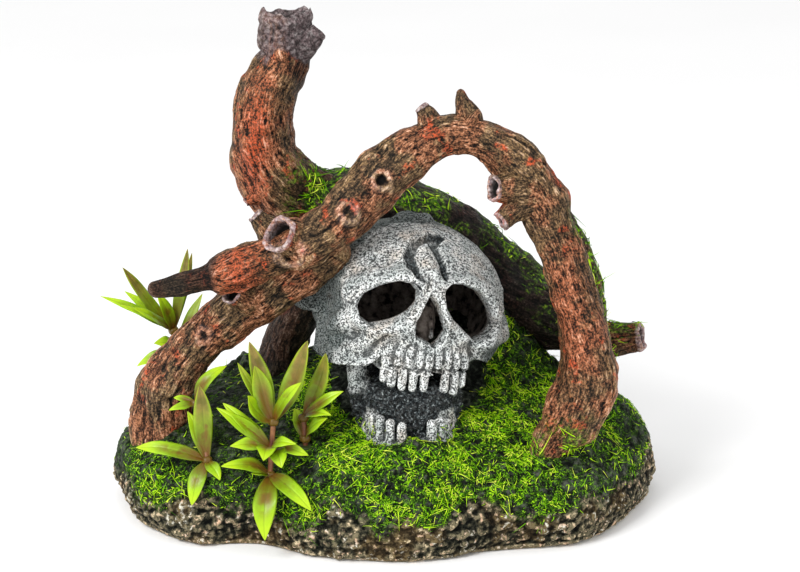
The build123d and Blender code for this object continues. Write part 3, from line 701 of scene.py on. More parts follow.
# ---- Where the plants stand, and their leaves
# A whorl is (share of the stem's height, its leaves). A leaf is (tip from hub, width, bow).
FACING = np.array((0, -0.55, 0.83))  # where the upper side of a leaf looks
LEAF_ROWS, LEAF_ACROSS, HUB_SIDES = 36, 15, 24
STEM_BASE = 2.7  # the height of the flange that the stem stands on
PLANTS = {
    "left": {
        "foot": (-61, -36, 25.2),
        "tip": (-66, -25.5, 48.0),
        "whorls": [
            (0.08, [((-25, 2, 4), 5.8, 3.5), ((-2, 0, 28), 6.2, -2.0), ((-7, 6, 16), 4.6, 1.0),
                    ((-5, -9, -13), 5.6, 2.5), ((5, -8, -4), 4.2, 1.5)]),
            (0.96, [((11, 3, 13), 4.8, 4.0), ((-9, -4, -1), 3.0, 1.0), ((-8, 3, 1), 2.8, 1.0)]),
        ],
    },
    "front": {
        "foot": (-39.5, -40, 21.8),
        "tip": (-38, -36, 45.0),
        "whorls": [
            (0.08, [((-1, -17, -17), 7.6, 5.0), ((15, -15, -7), 6.2, 4.0), ((-16, -9, 7), 5.4, 3.0),
                    ((-6, -6, 3), 2.4, 0.6)]),
            (0.50, [((4, -9, -3), 6.0, 2.0), ((13, -5, 0), 4.4, 2.0), ((9, -7, 5), 4.2, 3.0),
                    ((-2, -12, 1), 6.6, 2.5), ((-14, -4, 3), 5.0, 2.0), ((-19, 4, 14), 5.0, 2.0),
                    ((-17, 6, 15), 4.8, 2.0)]),
            (0.97, [((-8, -6, 12), 6.0, -2.0), ((-6, -1, 21), 6.4, -1.5), ((-8, 4, 28), 6.3, -1.5),
                    ((-12, 2, 21), 3.6, -1.0), ((12, 5, 28), 7.0, -3.0), ((10, -4, 16), 4.6, 1.5)]),
        ],
    },
    "middle": {
        "foot": (-27.5, -28, 31.0),
        "tip": (-28, -27, 43.0),
        "whorls": [
            (0.12, [((8, -6, 10), 5.0, 1.5), ((-4, 6, 9), 4.4, 1.0)]),
            (0.93, [((8, 0, 24), 6.0, -2.0), ((14, -3, 11), 4.6, 2.0), ((10, -8, 4), 3.6, 2.0)]),
        ],
    },
    "rear": {
        "foot": (-73, 21, 28.0),
        "tip": (-78, 17, 60.0),
        "whorls": [
            (0.70, [((-8, -7, 5), 6.0, 2.5), ((-15, -4, -5), 4.4, 2.0), ((9, 6, 20), 3.6, 1.5)]),
            (0.97, [((-17, -5, 26), 4.8, -1.5), ((-26, -2, 14), 3.4, 1.5), ((-18, 4, 14), 4.2, 1.0),
                    ((-18, -6, 12), 3.2, 1.0), ((-13, -9, 12), 4.2, 1.0), ((6, 2, 31), 4.2, -1.5),
                    ((7, 7, 28), 3.2, -1.0), ((-5, -4, 16), 4.4, 1.0)]),
        ],
    },
}


# ---- Rock
FOOTPRINT = [
    (-100, 1), (-89, -27), (-70, -42), (-46, -43), (-24, -53), (8, -58), (34, -50), (72, -41),
    (94, -14), (100, 14), (86, 40), (52, 55), (8, 58), (-42, 54), (-78, 42), (-97, 22),
]
ROCK_TOP = (23, 25)
LAYERS = [  # (height, size against the footprint, shift in X, shift in Y)
    (0, 0.02, 0, 0), (0, 0.5, 0, 0), (0, 0.94, 0, 0), (1.5, 0.97, 0, 0), (9, 1.0, 0, 0), (22, 0.96, 0, 1),
    (31, 0.83, 2, 5), (38, 0.60, 9, 12), (47, 0.38, 19, 20), (57, 0.22, *ROCK_TOP), (59, 0.02, *ROCK_TOP),
]
MOUNDS = [  # (x, y, half width, half depth, height)
    (9, -42, 24, 9, 6.5), (88, 8, 13, 11, 6.0), (-52, 43, 24, 9, 9.0), (-20, 46, 18, 10, 4.0), (44, 27, 21, 15, 10.0),
]
ROCK_COLUMNS, ROCK_PITCH = 440, 0.62
CHANNEL = (11.0, 8.0, 16.0, -30.0, 46.0)  # x, half width, height, front, back
CHIMNEY = (-5.0, 9.0)
PEGS = {name: plant["foot"] for name, plant in PLANTS.items()}


def rock_surface():
    """The rock's points, faces and attributes, before its channel is cut."""
    edge, run = spline(FOOTPRINT[-1:] + FOOTPRINT + FOOTPRINT[:2], 0.2)
    far = np.linalg.norm(edge - FOOTPRINT[0], axis=1)
    half = len(edge) // 2
    first, last = np.argmin(far), half + np.argmin(far[half:])
    at = np.linspace(run[first], run[last], ROCK_COLUMNS, endpoint=False)
    edge = np.stack([np.interp(at, run, edge[:, k]) for k in range(2)], axis=-1)
    layers = np.array(LAYERS, float)
    travel = np.hypot(np.diff(layers[:, 0]), 70 * np.diff(layers[:, 1]))
    travel[:2] *= 0.06
    climb = np.concatenate([[0], np.cumsum(travel)])
    rows = np.interp(np.linspace(0, climb[-1], int(climb[-1] / ROCK_PITCH)), climb, np.arange(len(layers)))
    level = np.stack([np.interp(rows, np.arange(len(layers)), layers[:, k]) for k in range(4)], axis=-1)
    verts = np.zeros((len(level), ROCK_COLUMNS, 3))
    verts[..., :2] = edge[None] * level[:, None, 1:2] + level[:, None, 2:4]
    verts[..., 2] = level[:, 0:1]
    verts = verts.reshape(-1, 3)
    climbed = np.repeat(rows, ROCK_COLUMNS)
    for x, y, wide, deep, height in MOUNDS:
        rise = height * bump(np.hypot((verts[:, 0] - x) / wide, (verts[:, 1] - y) / deep), 1.0)
        verts[:, 2] += rise * step(climbed, 4.2, 5.6)
    return roughened(verts, tube_faces(len(level), ROCK_COLUMNS), climbed)


def roughened(verts, faces, climbed):
    """The rock with its lumps, pebbly band, moss cushions and rear ridges, and its attributes."""
    out = normals(verts, faces)
    low = 1 - step(verts[:, 2] + 12 * layered(verts, 16.0, 3, 81), 12, 19)
    top = 1 - low
    squash = verts * (1, 1, 1.7)
    pebble = 1 - step(cells(squash + 1.5 * layered(verts, 6.0, 2, 83)[:, None], 4.4, 84), 0.1, 0.85)
    pebble *= step(noise(verts, 9.0, 85), 0.35, 0.6)
    grit = 1 - step(cells(verts, 2.3, 88), 0.1, 0.8)
    cushion = 1 - step(cells(verts, 4.6, 93), 0.05, 0.8)
    rear = step(verts[:, 1], 30, 42)
    ridge = 1 - furrows(verts * (1.4, 0.6, 0.8), 8.0, 2, 96)
    depth = 2.4 * layered(verts, 24.0, 3, 78)
    depth += low * (pebble + 0.9 * grit + layered(verts, 5.0, 3, 86) - 0.6)
    depth += top * (0.9 * cushion + 0.5 * grit - 0.4) + 2.2 * rear * top * (ridge - 0.5)
    verts = verts + out * (depth * step(climbed, 2.0, 3.4))[:, None]
    verts[:, 2] = np.maximum(verts[:, 2], 0)
    x, y, _ = verts.T
    patch = noise(verts, 13.0, 99) + 0.4 * noise(verts, 4.0, 100)
    clear = step(np.hypot(x - SKULL_AT[0], y - SKULL_AT[1]), 27, 31)
    moss = top * clear * step(patch + 0.25 * normals(verts, faces)[:, 2], 0.28, 0.75) * (1 - 0.6 * rear)
    bright = 0.8 * step(noise(verts, 22.0, 105) + 0.004 * (x + 20) - 0.004 * y, 0.3, 0.72)
    bright += 0.7 * bump(np.hypot(x - 9, y + 19), 26.0) + 0.4 * bump(y + 45, 12.0)
    bright -= 0.7 * step(x, 50, 72) * step(-y, 12, 30)
    bright = np.clip(bright, 0, 1) * (1 - rear)
    return verts, faces, {"relief": relief(verts, faces), "moss": moss, "low": low, "bright": bright}


def prism(name, outline, axis, start, end):
    """A closed solid that only cuts: this outline extruded along Y (axis 1) or Z (axis 2)."""
    count = len(outline)
    verts = [(a, level, b) if axis == 1 else (a, b, level) for level in (start, end) for a, b in outline]
    sides = [[i, (i + 1) % count, count + (i + 1) % count, count + i] for i in range(count)]
    mesh = bpy.data.meshes.new(name)
    ends = [list(range(count))[::-1], list(range(count, 2 * count))]
    mesh.from_pydata((np.array(verts, float) * MM).tolist(), [], sides + ends)
    return added(name, mesh)


def circle(x, y, radius, count):
    """A round outline."""
    turns = [2 * math.pi * i / count for i in range(count)]
    return [(x + radius * math.cos(t), y + radius * math.sin(t)) for t in turns]


def square(x0, x1, y0, y1):
    """A rectangular outline."""
    return [(x0, y0), (x1, y0), (x1, y1), (x0, y1)]


def rock(material):
    """The rock with its air channel, chimney, rear hole and plant sockets cut out."""
    verts, faces, values = rock_surface()
    ends = np.array([[0, 0, 0], [*ROCK_TOP, verts[-1, 2]]])
    base = len(verts)
    ring = np.arange(ROCK_COLUMNS)
    following = (ring + 1) % ROCK_COLUMNS
    top = base - ROCK_COLUMNS
    fan_low = np.stack([following, ring, np.full(ROCK_COLUMNS, base)], -1)
    fan_high = np.stack([top + ring, top + following, np.full(ROCK_COLUMNS, base + 1)], -1)
    extra = {key: np.append(v, [v[0], v[-1]]) for key, v in values.items()}
    made = piece("rock_carved", np.vstack([verts, ends]), [faces, fan_low, fan_high], material, "mossy_rock", **extra)
    x, half, high, front, back = CHANNEL
    cuts = [
        prism("cut_channel", square(x - half, x + half, front, back), 2, -1, high),
        prism("cut_chimney", square(x - half, x + half, *CHIMNEY), 2, high - 1, 80),
        prism("cut_rear", circle(x, 8, 4.6, 32), 1, back - 1, 70),
    ]
    cuts += [prism(f"cut_{name}", circle(px, py, 2.3, 20), 2, pz - 6, pz + 9) for name, (px, py, pz) in PEGS.items()]
    for cut in cuts:
        modifier = made.modifiers.new(cut.name, "BOOLEAN")
        modifier.operation = "DIFFERENCE"
        modifier.solver = "MANIFOLD"
        modifier.object = cut
    bpy.context.view_layer.update()
    made.data = bpy.data.meshes.new_from_object(made.evaluated_get(bpy.context.evaluated_depsgraph_get()))
    made.modifiers.clear()
    for cut in cuts:
        bpy.data.objects.remove(cut)
    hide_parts("rock_left", "rock_right", "rock_front", "rock_rear")
    return verts, faces, values


# ---- Moss threads
THREAD_STEPS, THREAD_SIDES = 5, 3
ROCK_THREADS, ROOT_THREADS, JAW_THREADS = 6000, 420, 700


def strands(name, roots, outs, seed, long, wide, material):
    """Short curled threads that grow from the given points."""
    count = len(roots)
    rng = np.random.default_rng(seed)
    lean = rng.normal(size=(count, 3))
    lean -= outs * (lean * outs).sum(axis=1, keepdims=True)
    lean /= np.linalg.norm(lean, axis=1, keepdims=True)
    start = 0.45 * outs + lean
    curl = np.cross(outs, lean) * rng.normal(0, 2.4, (count, 1)) - outs * rng.uniform(0.2, 0.9, (count, 1))
    length = long * rng.uniform(0.5, 1.4, (count, 1))
    width = wide * rng.uniform(0.7, 1.4, count)
    t = np.linspace(0, 1, THREAD_STEPS)
    middle = roots[:, None] - 0.2 * outs[:, None]
    run = t[None, :, None]
    middle = middle + length[:, None] * (start[:, None] * run + 0.8 * curl[:, None] * run**2)
    tangent = np.gradient(middle, axis=1)
    side = np.cross(tangent, outs[:, None])
    side /= np.maximum(np.linalg.norm(side, axis=2, keepdims=True), 1e-6)
    up = np.cross(side, tangent)
    up /= np.maximum(np.linalg.norm(up, axis=2, keepdims=True), 1e-6)
    turn = np.arange(THREAD_SIDES) * 2 * math.pi / THREAD_SIDES
    thin = width[:, None] * (1 - 0.85 * t[None] ** 2)
    ring = side[:, :, None] * np.cos(turn)[:, None] + up[:, :, None] * np.sin(turn)[:, None]
    verts = (middle[:, :, None] + ring * thin[:, :, None, None]).reshape(-1, 3)
    each = THREAD_STEPS * THREAD_SIDES
    faces = (tube_faces(THREAD_STEPS, THREAD_SIDES)[None] + (np.arange(count) * each)[:, None, None]).reshape(-1, 4)
    tone = np.repeat(rng.uniform(0, 1, count), each)
    tip = np.tile(np.repeat(t, THREAD_SIDES), count)
    piece(name, verts, [faces], material, "mossy_rock", tone=tone, tip=tip)


def pick(verts, outs, weight, count, seed):
    """Points drawn by weight, and their directions."""
    rng = np.random.default_rng(seed)
    chosen = rng.choice(len(verts), count, p=weight / weight.sum())
    return verts[chosen] + rng.normal(0, 0.3, (count, 3)), outs[chosen]


# ---- Plastic plants
def leaf(hub, tip, width, bow, seed):
    """A folded, wavy blade from the hub to its tip, pointed at both ends."""
    tip = np.array(tip, float)
    length = np.linalg.norm(tip)
    along = tip / length
    normal = FACING - along * (FACING @ along)
    normal /= np.linalg.norm(normal)
    across = np.cross(normal, along)
    u = np.linspace(0, 1, LEAF_ROWS)[:, None]
    over = np.linspace(-1, 1, LEAF_ACROSS)
    v = np.concatenate([over, over[-2:0:-1]])[None]
    face = np.array([1.0] * LEAF_ACROSS + [-1.0] * (LEAF_ACROSS - 2))[None]
    arch = np.sin(math.pi * u)
    half = 0.54 * width * arch**0.85 + 0.55 * (1 - u) ** 6 + 0.04
    ripple = 0.09 * width * np.sin(u * 9 + seed * 1.7 + 1.5 * v) * v**2 * arch
    fold = 0.16 * half * np.abs(v) ** 1.3 - 0.05 * half
    vein = 0.07 * np.cos(math.pi * (np.abs(v) * 9 - u * 20)) * arch * (np.abs(v) < 0.93)
    rib = -0.16 * bump(v, 0.09)
    thick = face * 0.26 * np.sqrt(np.clip(1.02 - v**2, 0, 1)) * (0.5 + 0.5 * arch)
    height = 4 * bow * u * (1 - u) + fold + ripple + vein + rib + thick
    drift = 0.10 * width * np.sin(2.2 * u + seed) * u * (1 - u) * 4
    place = hub + along * (length * u[..., None]) + across * (half * v + drift)[..., None]
    verts = (place + normal * height[..., None]).reshape(-1, 3)
    values = {
        "along": np.broadcast_to(u, height.shape).ravel(), "across": np.broadcast_to(v, height.shape).ravel(),
        "purple": np.full(len(verts), step(tip[2], 14, 27)), "tone": np.full(len(verts), (seed * 0.618) % 1),
    }
    return verts, [tube_faces(LEAF_ROWS, v.size)], values


def hub(at, along):
    """The ring that joins a whorl's leaves on the stem."""
    along = along / np.linalg.norm(along)
    profile = [  # (radius, height)
        (0.93, -1.3), (1.35, -1.25), (1.75, -0.9), (1.9, -0.2), (1.85, 0.5), (1.6, 1.1), (1.2, 1.3), (0.93, 1.3),
    ]
    side = np.cross(along, (0.0, 1.0, 0.2))
    side /= np.linalg.norm(side)
    up = np.cross(along, side)
    turn = np.linspace(0, 2 * math.pi, HUB_SIDES, endpoint=False)
    away = np.cos(turn)[:, None] * side + np.sin(turn)[:, None] * up
    wave = 1 + 0.06 * np.cos(5 * turn)[:, None]
    verts = np.vstack([at + away * r * wave + along * h for r, h in profile])
    values = {key: np.zeros(len(verts)) for key in ("along", "across", "purple", "tone")}
    return verts, [tube_faces(len(profile), HUB_SIDES)], values


def plants(material):
    """A piece for each whorl of leaves, on its plant's crown."""
    seed = 0
    for name, plant in PLANTS.items():
        low = np.array(plant["foot"], float) + (0, 0, STEM_BASE)
        rise = np.array(plant["tip"], float) - low
        for number, (share, leaves) in enumerate(plant["whorls"], start=1):
            at = low + rise * share
            parts = [hub(at, rise)]
            for tip, width, bow in leaves:
                seed += 1
                parts.append(leaf(at, tip, width, bow, seed))
            verts, faces, values = merge(parts)
            node = f"plant_{name}_whorl_{number}"
            piece(f"leaves_{name}_{number}", verts, faces, material, "leaf", [node], f"crown_{name}", **values)


# ---- Materials
def colour(text):
    """A linear colour from six hexadecimal digits of sRGB."""
    parts = [int(text[i:i + 2], 16) / 255 for i in (0, 2, 4)]
    return tuple(p / 12.92 if p <= 0.04045 else ((p + 0.055) / 1.055) ** 2.4 for p in parts) + (1.0,)


class Surface:
    """A node material that is built up step by step."""

    def __init__(self, name, **uniform):
        self.material = bpy.data.materials.new(name)
        self.material.use_nodes = True
        self.tree = self.material.node_tree
        self.shader = self.tree.nodes["Principled BSDF"]
        for key, value in uniform.items():
            self.shader.inputs[key.replace("_", " ")].default_value = value
        self.where = self.node("ShaderNodeTexCoord").outputs["Object"]

    def node(self, kind, settings=(), **inputs):
        made = self.tree.nodes.new(kind)
        for key, value in dict(settings).items():
            setattr(made, key, value)
        for key, value in inputs.items():
            self.put(made.inputs[key.replace("_", " ")], value)
        return made

    def put(self, socket, value):
        if isinstance(value, bpy.types.NodeSocket):
            self.tree.links.new(value, socket)
        else:
            socket.default_value = value

    def attribute(self, name, kind="Fac"):
        return self.node("ShaderNodeAttribute", {"attribute_name": name}).outputs[kind]

    def noise(self, size, detail=4.0, rough=0.6, at=None, warp=0.0):
        """Noise whose features are about size millimetres, or size units of the vector at."""
        scale = 1000.0 / size if at is None else 1.0 / size
        made = self.node("ShaderNodeTexNoise", Vector=at or self.where, Scale=scale, Detail=detail, Roughness=rough,
                         Distortion=warp)
        return made.outputs["Fac"]

    def math(self, how, a, b=0.0):
        """A Math node. Sums are held between 0 and 1."""
        made = self.node("ShaderNodeMath", {"operation": how, "use_clamp": how in ("ADD", "SUBTRACT")})
        for socket, value in zip(made.inputs, (a, b)):
            self.put(socket, value)
        return made.outputs[0]

    def plus(self, a, b):
        return self.math("ADD", a, b)

    def times(self, a, b):
        return self.math("MULTIPLY", a, b)

    def span(self, value, low, high, to_low=0.0, to_high=1.0):
        """Maps low-high to another range, smoothly and held at its ends."""
        made = self.node("ShaderNodeMapRange", {"interpolation_type": "SMOOTHSTEP"}, Value=value)
        for key, number in (("From Min", low), ("From Max", high), ("To Min", to_low), ("To Max", to_high)):
            made.inputs[key].default_value = number
        return made.outputs["Result"]

    def ramp(self, value, stops):
        """A colour for a value, from (place, hex colour) stops."""
        made = self.node("ShaderNodeValToRGB", Fac=value)
        band = made.color_ramp
        while len(band.elements) < len(stops):
            band.elements.new(0.5)
        for element, (place, text) in zip(band.elements, stops):
            element.position, element.color = place, colour(text)
        return made.outputs["Color"]

    def mix(self, a, b, share):
        """Colour b over a, by a share."""
        made = self.node("ShaderNodeMix", {"data_type": "RGBA"})
        for socket, value in zip([made.inputs[0], made.inputs[6], made.inputs[7]], (share, a, b)):
            self.put(socket, colour(value) if isinstance(value, str) else value)
        return made.outputs[2]

    def finish(self, base, rough=None, height=None, depth=0.3, strength=0.6):
        """Connects the colour, the roughness and a relief that is depth millimetres deep."""
        self.put(self.shader.inputs["Base Color"], colour(base) if isinstance(base, str) else base)
        if rough is not None:
            self.put(self.shader.inputs["Roughness"], rough)
        if height is not None:
            bumped = self.node("ShaderNodeBump", Height=height, Distance=depth * MM, Strength=strength)
            self.put(self.shader.inputs["Normal"], bumped.outputs[0])
        return self.material


def bone_material():
    """Grey-white cast bone with dark paint in a net of small pits, painted shade in its hollows and on its sides, and
    painted highlights on raised bone.
    """
    s = Surface("bone_cast", Specular_IOR_Level=0.1)
    net = s.noise(0.62, 2.0, 0.6, warp=0.5)
    broad = s.noise(9.0, 3.0, 0.55)
    # Dark paint in a net of fine pits and in the deeper pits, with painted shade in the hollows of the relief.
    speckle_and_crevice_shade = s.plus(s.span(net, 0.47, 0.56), s.span(s.attribute("relief"), 0.02, -0.25, 0.0, 0.85))
    speckle_and_crevice_shade = s.plus(speckle_and_crevice_shade, s.times(s.attribute("pit"), 0.55))
    white = s.ramp(broad, [(0.3, "B2BAB8"), (0.5, "DDE0DE"), (0.7, "D4CBC0")])
    base = s.mix(white, "1B1F1F", s.times(speckle_and_crevice_shade, 0.92))
    lit = s.span(s.attribute("relief"), 0.05, 0.4, 0.0, 0.75)
    base = s.mix(base, "ECEFED", s.times(lit, s.span(net, 0.56, 0.47)))
    # Painted shade on the skull's sides, with some dark wash on the temple, and darker towards the bottom of the jaw.
    shade = s.mix("141A19", "616A68", s.span(net, 0.6, 0.42))
    base = s.mix(base, shade, s.times(s.attribute("wash_and_shade"), 0.85))
    # The crack and the mouth: dark paint with painted shade.
    pit = s.ramp(s.noise(1.0, 4.0, 0.7), [(0.42, "030405"), (0.52, "14181A"), (0.6, "4A5254"), (0.68, "A4AAAA")])
    base = s.mix(base, pit, s.attribute("dark"))
    inner = s.ramp(s.noise(3.2, 3.0, 0.6), [(0.36, "100E0D"), (0.46, "5A514B"), (0.7, "857C74")])
    base = s.mix(base, inner, s.attribute("inner"))
    grain = s.math("SUBTRACT", s.noise(0.7, 3.0), s.times(speckle_and_crevice_shade, 0.6))
    return s.finish(base, s.span(speckle_and_crevice_shade, 0, 1, 0.62, 0.8), grain, 0.5, 0.75)


def wood_material():
    """Painted cast driftwood: dark furrows under red-brown and orange dry brushing, with pale breaks and moss, and
    painted shade in the furrows, in the holes and on the sides that face away.
    """
    s = Surface("driftwood_cast", Specular_IOR_Level=0.15)
    lines = s.noise(0.6, 5.0, 0.7, at=s.attribute("grain", "Vector"), warp=0.4)
    speck = s.noise(0.8, 4.0, 0.7)
    broad = s.noise(13.0, 3.0, 0.6)
    relief = s.attribute("relief")
    # Low in the furrows, where the ramps below go near black: the dark base coat, with painted shade.
    raised = s.plus(s.times(s.span(relief, -0.5, 0.5), 0.5), s.times(s.span(lines, 0.38, 0.64), 0.3))
    raised = s.plus(raised, s.times(s.span(speck, 0.4, 0.62), 0.3))
    tone = s.times(raised, 0.92)
    red = s.ramp(tone, [(0.2, "050302"), (0.38, "28170E"), (0.58, "7C4F35"), (0.78, "B87E5A"), (1.0, "F2CCAE")])
    brown = s.ramp(tone, [(0.2, "040302"), (0.38, "201A11"), (0.6, "5C4630"), (0.8, "92754F"), (1.0, "D0B48C")])
    base = s.mix(red, brown, s.span(broad, 0.44, 0.56))
    hot = s.math("MAXIMUM", s.span(s.noise(9.0, 3.0, 0.6), 0.57, 0.66), s.attribute("warm"))
    orange = s.ramp(speck, [(0.4, "7E2A12"), (0.6, "CC4A22")])
    base = s.mix(base, orange, s.times(hot, s.span(raised, 0.35, 0.85, 0.0, 0.85)))
    fleck = s.times(s.span(lines, 0.55, 0.65), s.span(relief, -0.05, 0.4))
    base = s.mix(base, "E6C0A8", s.times(fleck, 0.5))
    ends = s.ramp(s.noise(1.6, 4.0), [(0.3, "3A2A2A"), (0.48, "9A8486"), (0.66, "D9CCCB")])
    # Near black: painted shade on back sides and on the rear roots, and the dark paint of the arch's tip and the
    # stump's cap.
    dull = s.ramp(s.times(raised, 0.9), [(0.25, "020202"), (0.55, "0D0C0B"), (0.8, "2A2624"), (1.0, "6A6260")])
    base = s.mix(base, dull, s.attribute("dull"))
    base = s.mix(base, ends, s.times(s.attribute("pale"), s.span(s.noise(1.2, 3.0, 0.6), 0.38, 0.6, 0.25, 0.9)))
    # Painted shade, near black, in knot holes and inside open ends.
    base = s.mix(base, "0A0807", s.attribute("hole"))
    green = s.ramp(s.noise(1.3, 3.0, 0.7), [(0.38, "10160A"), (0.5, "2F4A10"), (0.6, "6C9A16"), (0.7, "B4D82A")])
    base = s.mix(base, green, s.times(s.attribute("moss"), s.span(s.noise(2.6, 4.0, 0.65), 0.40, 0.56)))
    return s.finish(base, s.span(raised, 0, 1, 0.72, 0.48), s.plus(lines, s.times(speck, 0.6)), 0.6, 0.7)


def rock_material():
    """Pebbly grey-beige rock below, near-black soil and bright moss above, with painted shade in the crevices."""
    s = Surface("rock_cast", Specular_IOR_Level=0.08)
    relief = s.attribute("relief")
    grit = s.noise(1.4, 5.0, 0.7)
    # Low in the crevices, where the ramps below go near black: dark paint, with painted shade.
    stone = s.plus(s.times(s.span(relief, -0.6, 0.6), 0.75), s.times(s.span(grit, 0.38, 0.64), 0.5))
    speckle_and_crevice_shade = s.times(stone, 0.85)
    low = s.ramp(speckle_and_crevice_shade, [(0.2, "060705"), (0.45, "23241C"), (0.66, "4A4636"), (0.85, "7A7158"), (1.0, "A89E84")])
    warm = s.ramp(speckle_and_crevice_shade, [(0.1, "100D08"), (0.5, "3A2F1E"), (1.0, "84724F")])
    low = s.mix(low, warm, s.span(s.noise(16.0, 3.0), 0.48, 0.62))
    light = s.times(s.span(s.noise(1.5, 4.0, 0.65), 0.52, 0.62), s.span(relief, -0.1, 0.4))
    low = s.mix(low, s.ramp(s.noise(8.0, 2.0), [(0.42, "D8C4A0"), (0.5, "E0B898"), (0.58, "D8D4C4")]), light)
    soil = s.ramp(speckle_and_crevice_shade, [(0.2, "050706"), (0.5, "171B16"), (0.8, "3A3F36"), (1.0, "6C7064")])
    base = s.mix(soil, low, s.attribute("low"))
    fibre = s.noise(1.15, 4.0, 0.72, warp=1.2)
    green = s.ramp(fibre, [(0.42, "050803"), (0.51, "1E3608"), (0.58, "5A920E"), (0.66, "B0E61C"), (0.78, "ECF65A")])
    shown = s.times(s.attribute("moss"), s.span(s.noise(3.2, 4.0, 0.65), 0.40, 0.54))
    shown = s.times(shown, s.span(s.attribute("bright"), 0.0, 0.7, 0.25, 1.0))
    base = s.mix(base, green, shown)
    return s.finish(base, s.span(stone, 0, 1, 0.85, 0.62), s.plus(grit, s.times(fibre, 0.5)), 0.7, 0.8)


def moss_material():
    """Dyed flock threads, dark at the root and yellow-green at the tip."""
    s = Surface("moss_threads", Roughness=0.75, Specular_IOR_Level=0.08)
    tone = s.plus(s.times(s.attribute("tone"), 0.7), s.times(s.noise(6.0, 2.0), 0.35))
    green = s.ramp(tone, [(0.12, "12280A"), (0.3, "346808"), (0.48, "78BC0C"), (0.68, "BCEC1C"), (1.0, "FCFA70")])
    return s.finish(s.mix(s.mix("0A1404", green, 0.45), green, s.span(s.attribute("tip"), 0.0, 0.35)))


def leaf_material():
    """Soft plastic leaf: lime at the rim, red-brown along the rib, purple towards the tip of tall ones."""
    s = Surface("leaf_plastic", Roughness=0.38, Specular_IOR_Level=0.3, Subsurface_Weight=0.12, Coat_Weight=0.05,
                Subsurface_Radius=(0.8, 1.0, 0.2), Subsurface_Scale=0.0012, Coat_Roughness=0.3)
    along, across = s.attribute("along"), s.math("ABSOLUTE", s.attribute("across"))
    mottle = s.noise(3.5, 3.0, 0.6)
    limes = [(0.15, "486608"), (0.5, "6F980A"), (0.85, "96BE10"), (1.0, "A8C818")]
    green = s.ramp(s.plus(along, s.times(mottle, 0.3)), limes)
    middle = s.math("ABSOLUTE", s.math("SUBTRACT", along, 0.35))
    rib = s.times(s.span(across, 1.0, 0.2), s.span(middle, 0.5, 0.1))
    blotch = s.plus(s.noise(5.0, 2.0, 0.5), s.times(s.attribute("tone"), 0.35))
    rib = s.times(rib, s.span(blotch, 0.5, 0.78))
    foot = s.times(s.span(s.plus(along, s.times(mottle, 0.4)), 0.85, 0.25), s.span(across, 1.3, 0.6))
    base = s.mix(green, "6A2E14", s.times(s.math("MAXIMUM", rib, foot), 0.8))
    tip = s.times(s.times(s.span(along, 0.3, 0.75), s.attribute("purple")), s.span(across, 1.15, 0.5, 0.15, 0.8))
    base = s.mix(base, s.ramp(mottle, [(0.35, "542624"), (0.65, "80503C")]), tip)
    base = s.mix(base, "5A5A18", s.times(s.span(across, 0.07, 0.02), 0.35))
    return s.finish(base, None, s.noise(0.8, 3.0), 0.12, 0.4)


def plain_material(name, dark, light, size, rough, depth=0.1, **uniform):
    """A moulded finish with a slight mottle and a fine grain."""
    s = Surface(name, **uniform)
    base = s.ramp(s.noise(size, 4.0, 0.6), [(0.35, dark), (0.65, light)])
    gloss = s.span(s.noise(size * 2, 3.0), 0.3, 0.7, rough, rough + 0.12)
    return s.finish(base, gloss, s.noise(size / 3, 4.0), depth, 0.4)


def stone_material():
    """Sintered air-stone grit."""
    s = Surface("air_stone_grit", Specular_IOR_Level=0.3)
    grain = s.node("ShaderNodeTexVoronoi", Vector=s.where, Scale=1000.0 / 0.55).outputs["Distance"]
    blue = s.ramp(grain, [(0.1, "8FA6BD"), (0.5, "5E7A99"), (0.8, "23303E")])
    base = s.mix(blue, "C8D2DC", s.span(s.noise(0.9), 0.62, 0.7))
    return s.finish(base, 0.9, grain, -0.35, 1.0)


def paint_frame(nodes):
    """Gives the CAD nodes that stay in view their materials."""
    clear = plain_material("tube_clear_pvc", "B9C4C4", "DDE6E6", 3.0, 0.16, 0.03, Transmission_Weight=0.55, IOR=1.45)
    finishes = {
        "air_pipe": clear,
        "stone_nipple": clear,
        "pipe_saddle": plain_material("saddle_black", "0E0E0E", "1C1C1C", 1.5, 0.42),
        "pipe_grommet": plain_material("silicone_grey", "2C3030", "3E4444", 2.5, 0.5),
        "coupling_sleeve": plain_material("silicone_smoke", "4A5050", "6C7474", 2.5, 0.4),
        "air_stone": stone_material(),
    }
    foot = plain_material("plant_foot_green", "1E2A0C", "35461A", 1.8, 0.45)
    stem = plain_material("plant_stem_brown", "55281C", "8C5C34", 4.0, 0.42)
    for name in PLANTS:
        finishes[f"plant_{name}_foot"] = foot
        finishes[f"plant_{name}_stem"] = stem
    for node, finish in finishes.items():
        mesh = nodes[node].data
        mesh.materials.clear()
        mesh.materials.append(finish)


# ---- The studio
AIM, FAR, RISE, LENS = (5.7, 0.0, 82.0), 700.0, 18.0, 88.2  # what the camera looks at, how far, how high, lens
FLOOR_HALF = 6000
LAMPS = [("key", (-420, -520, 620), 300, 5.5), ("fill", (480, -500, 260), 500, 0.6)]  # name, place, size, watts


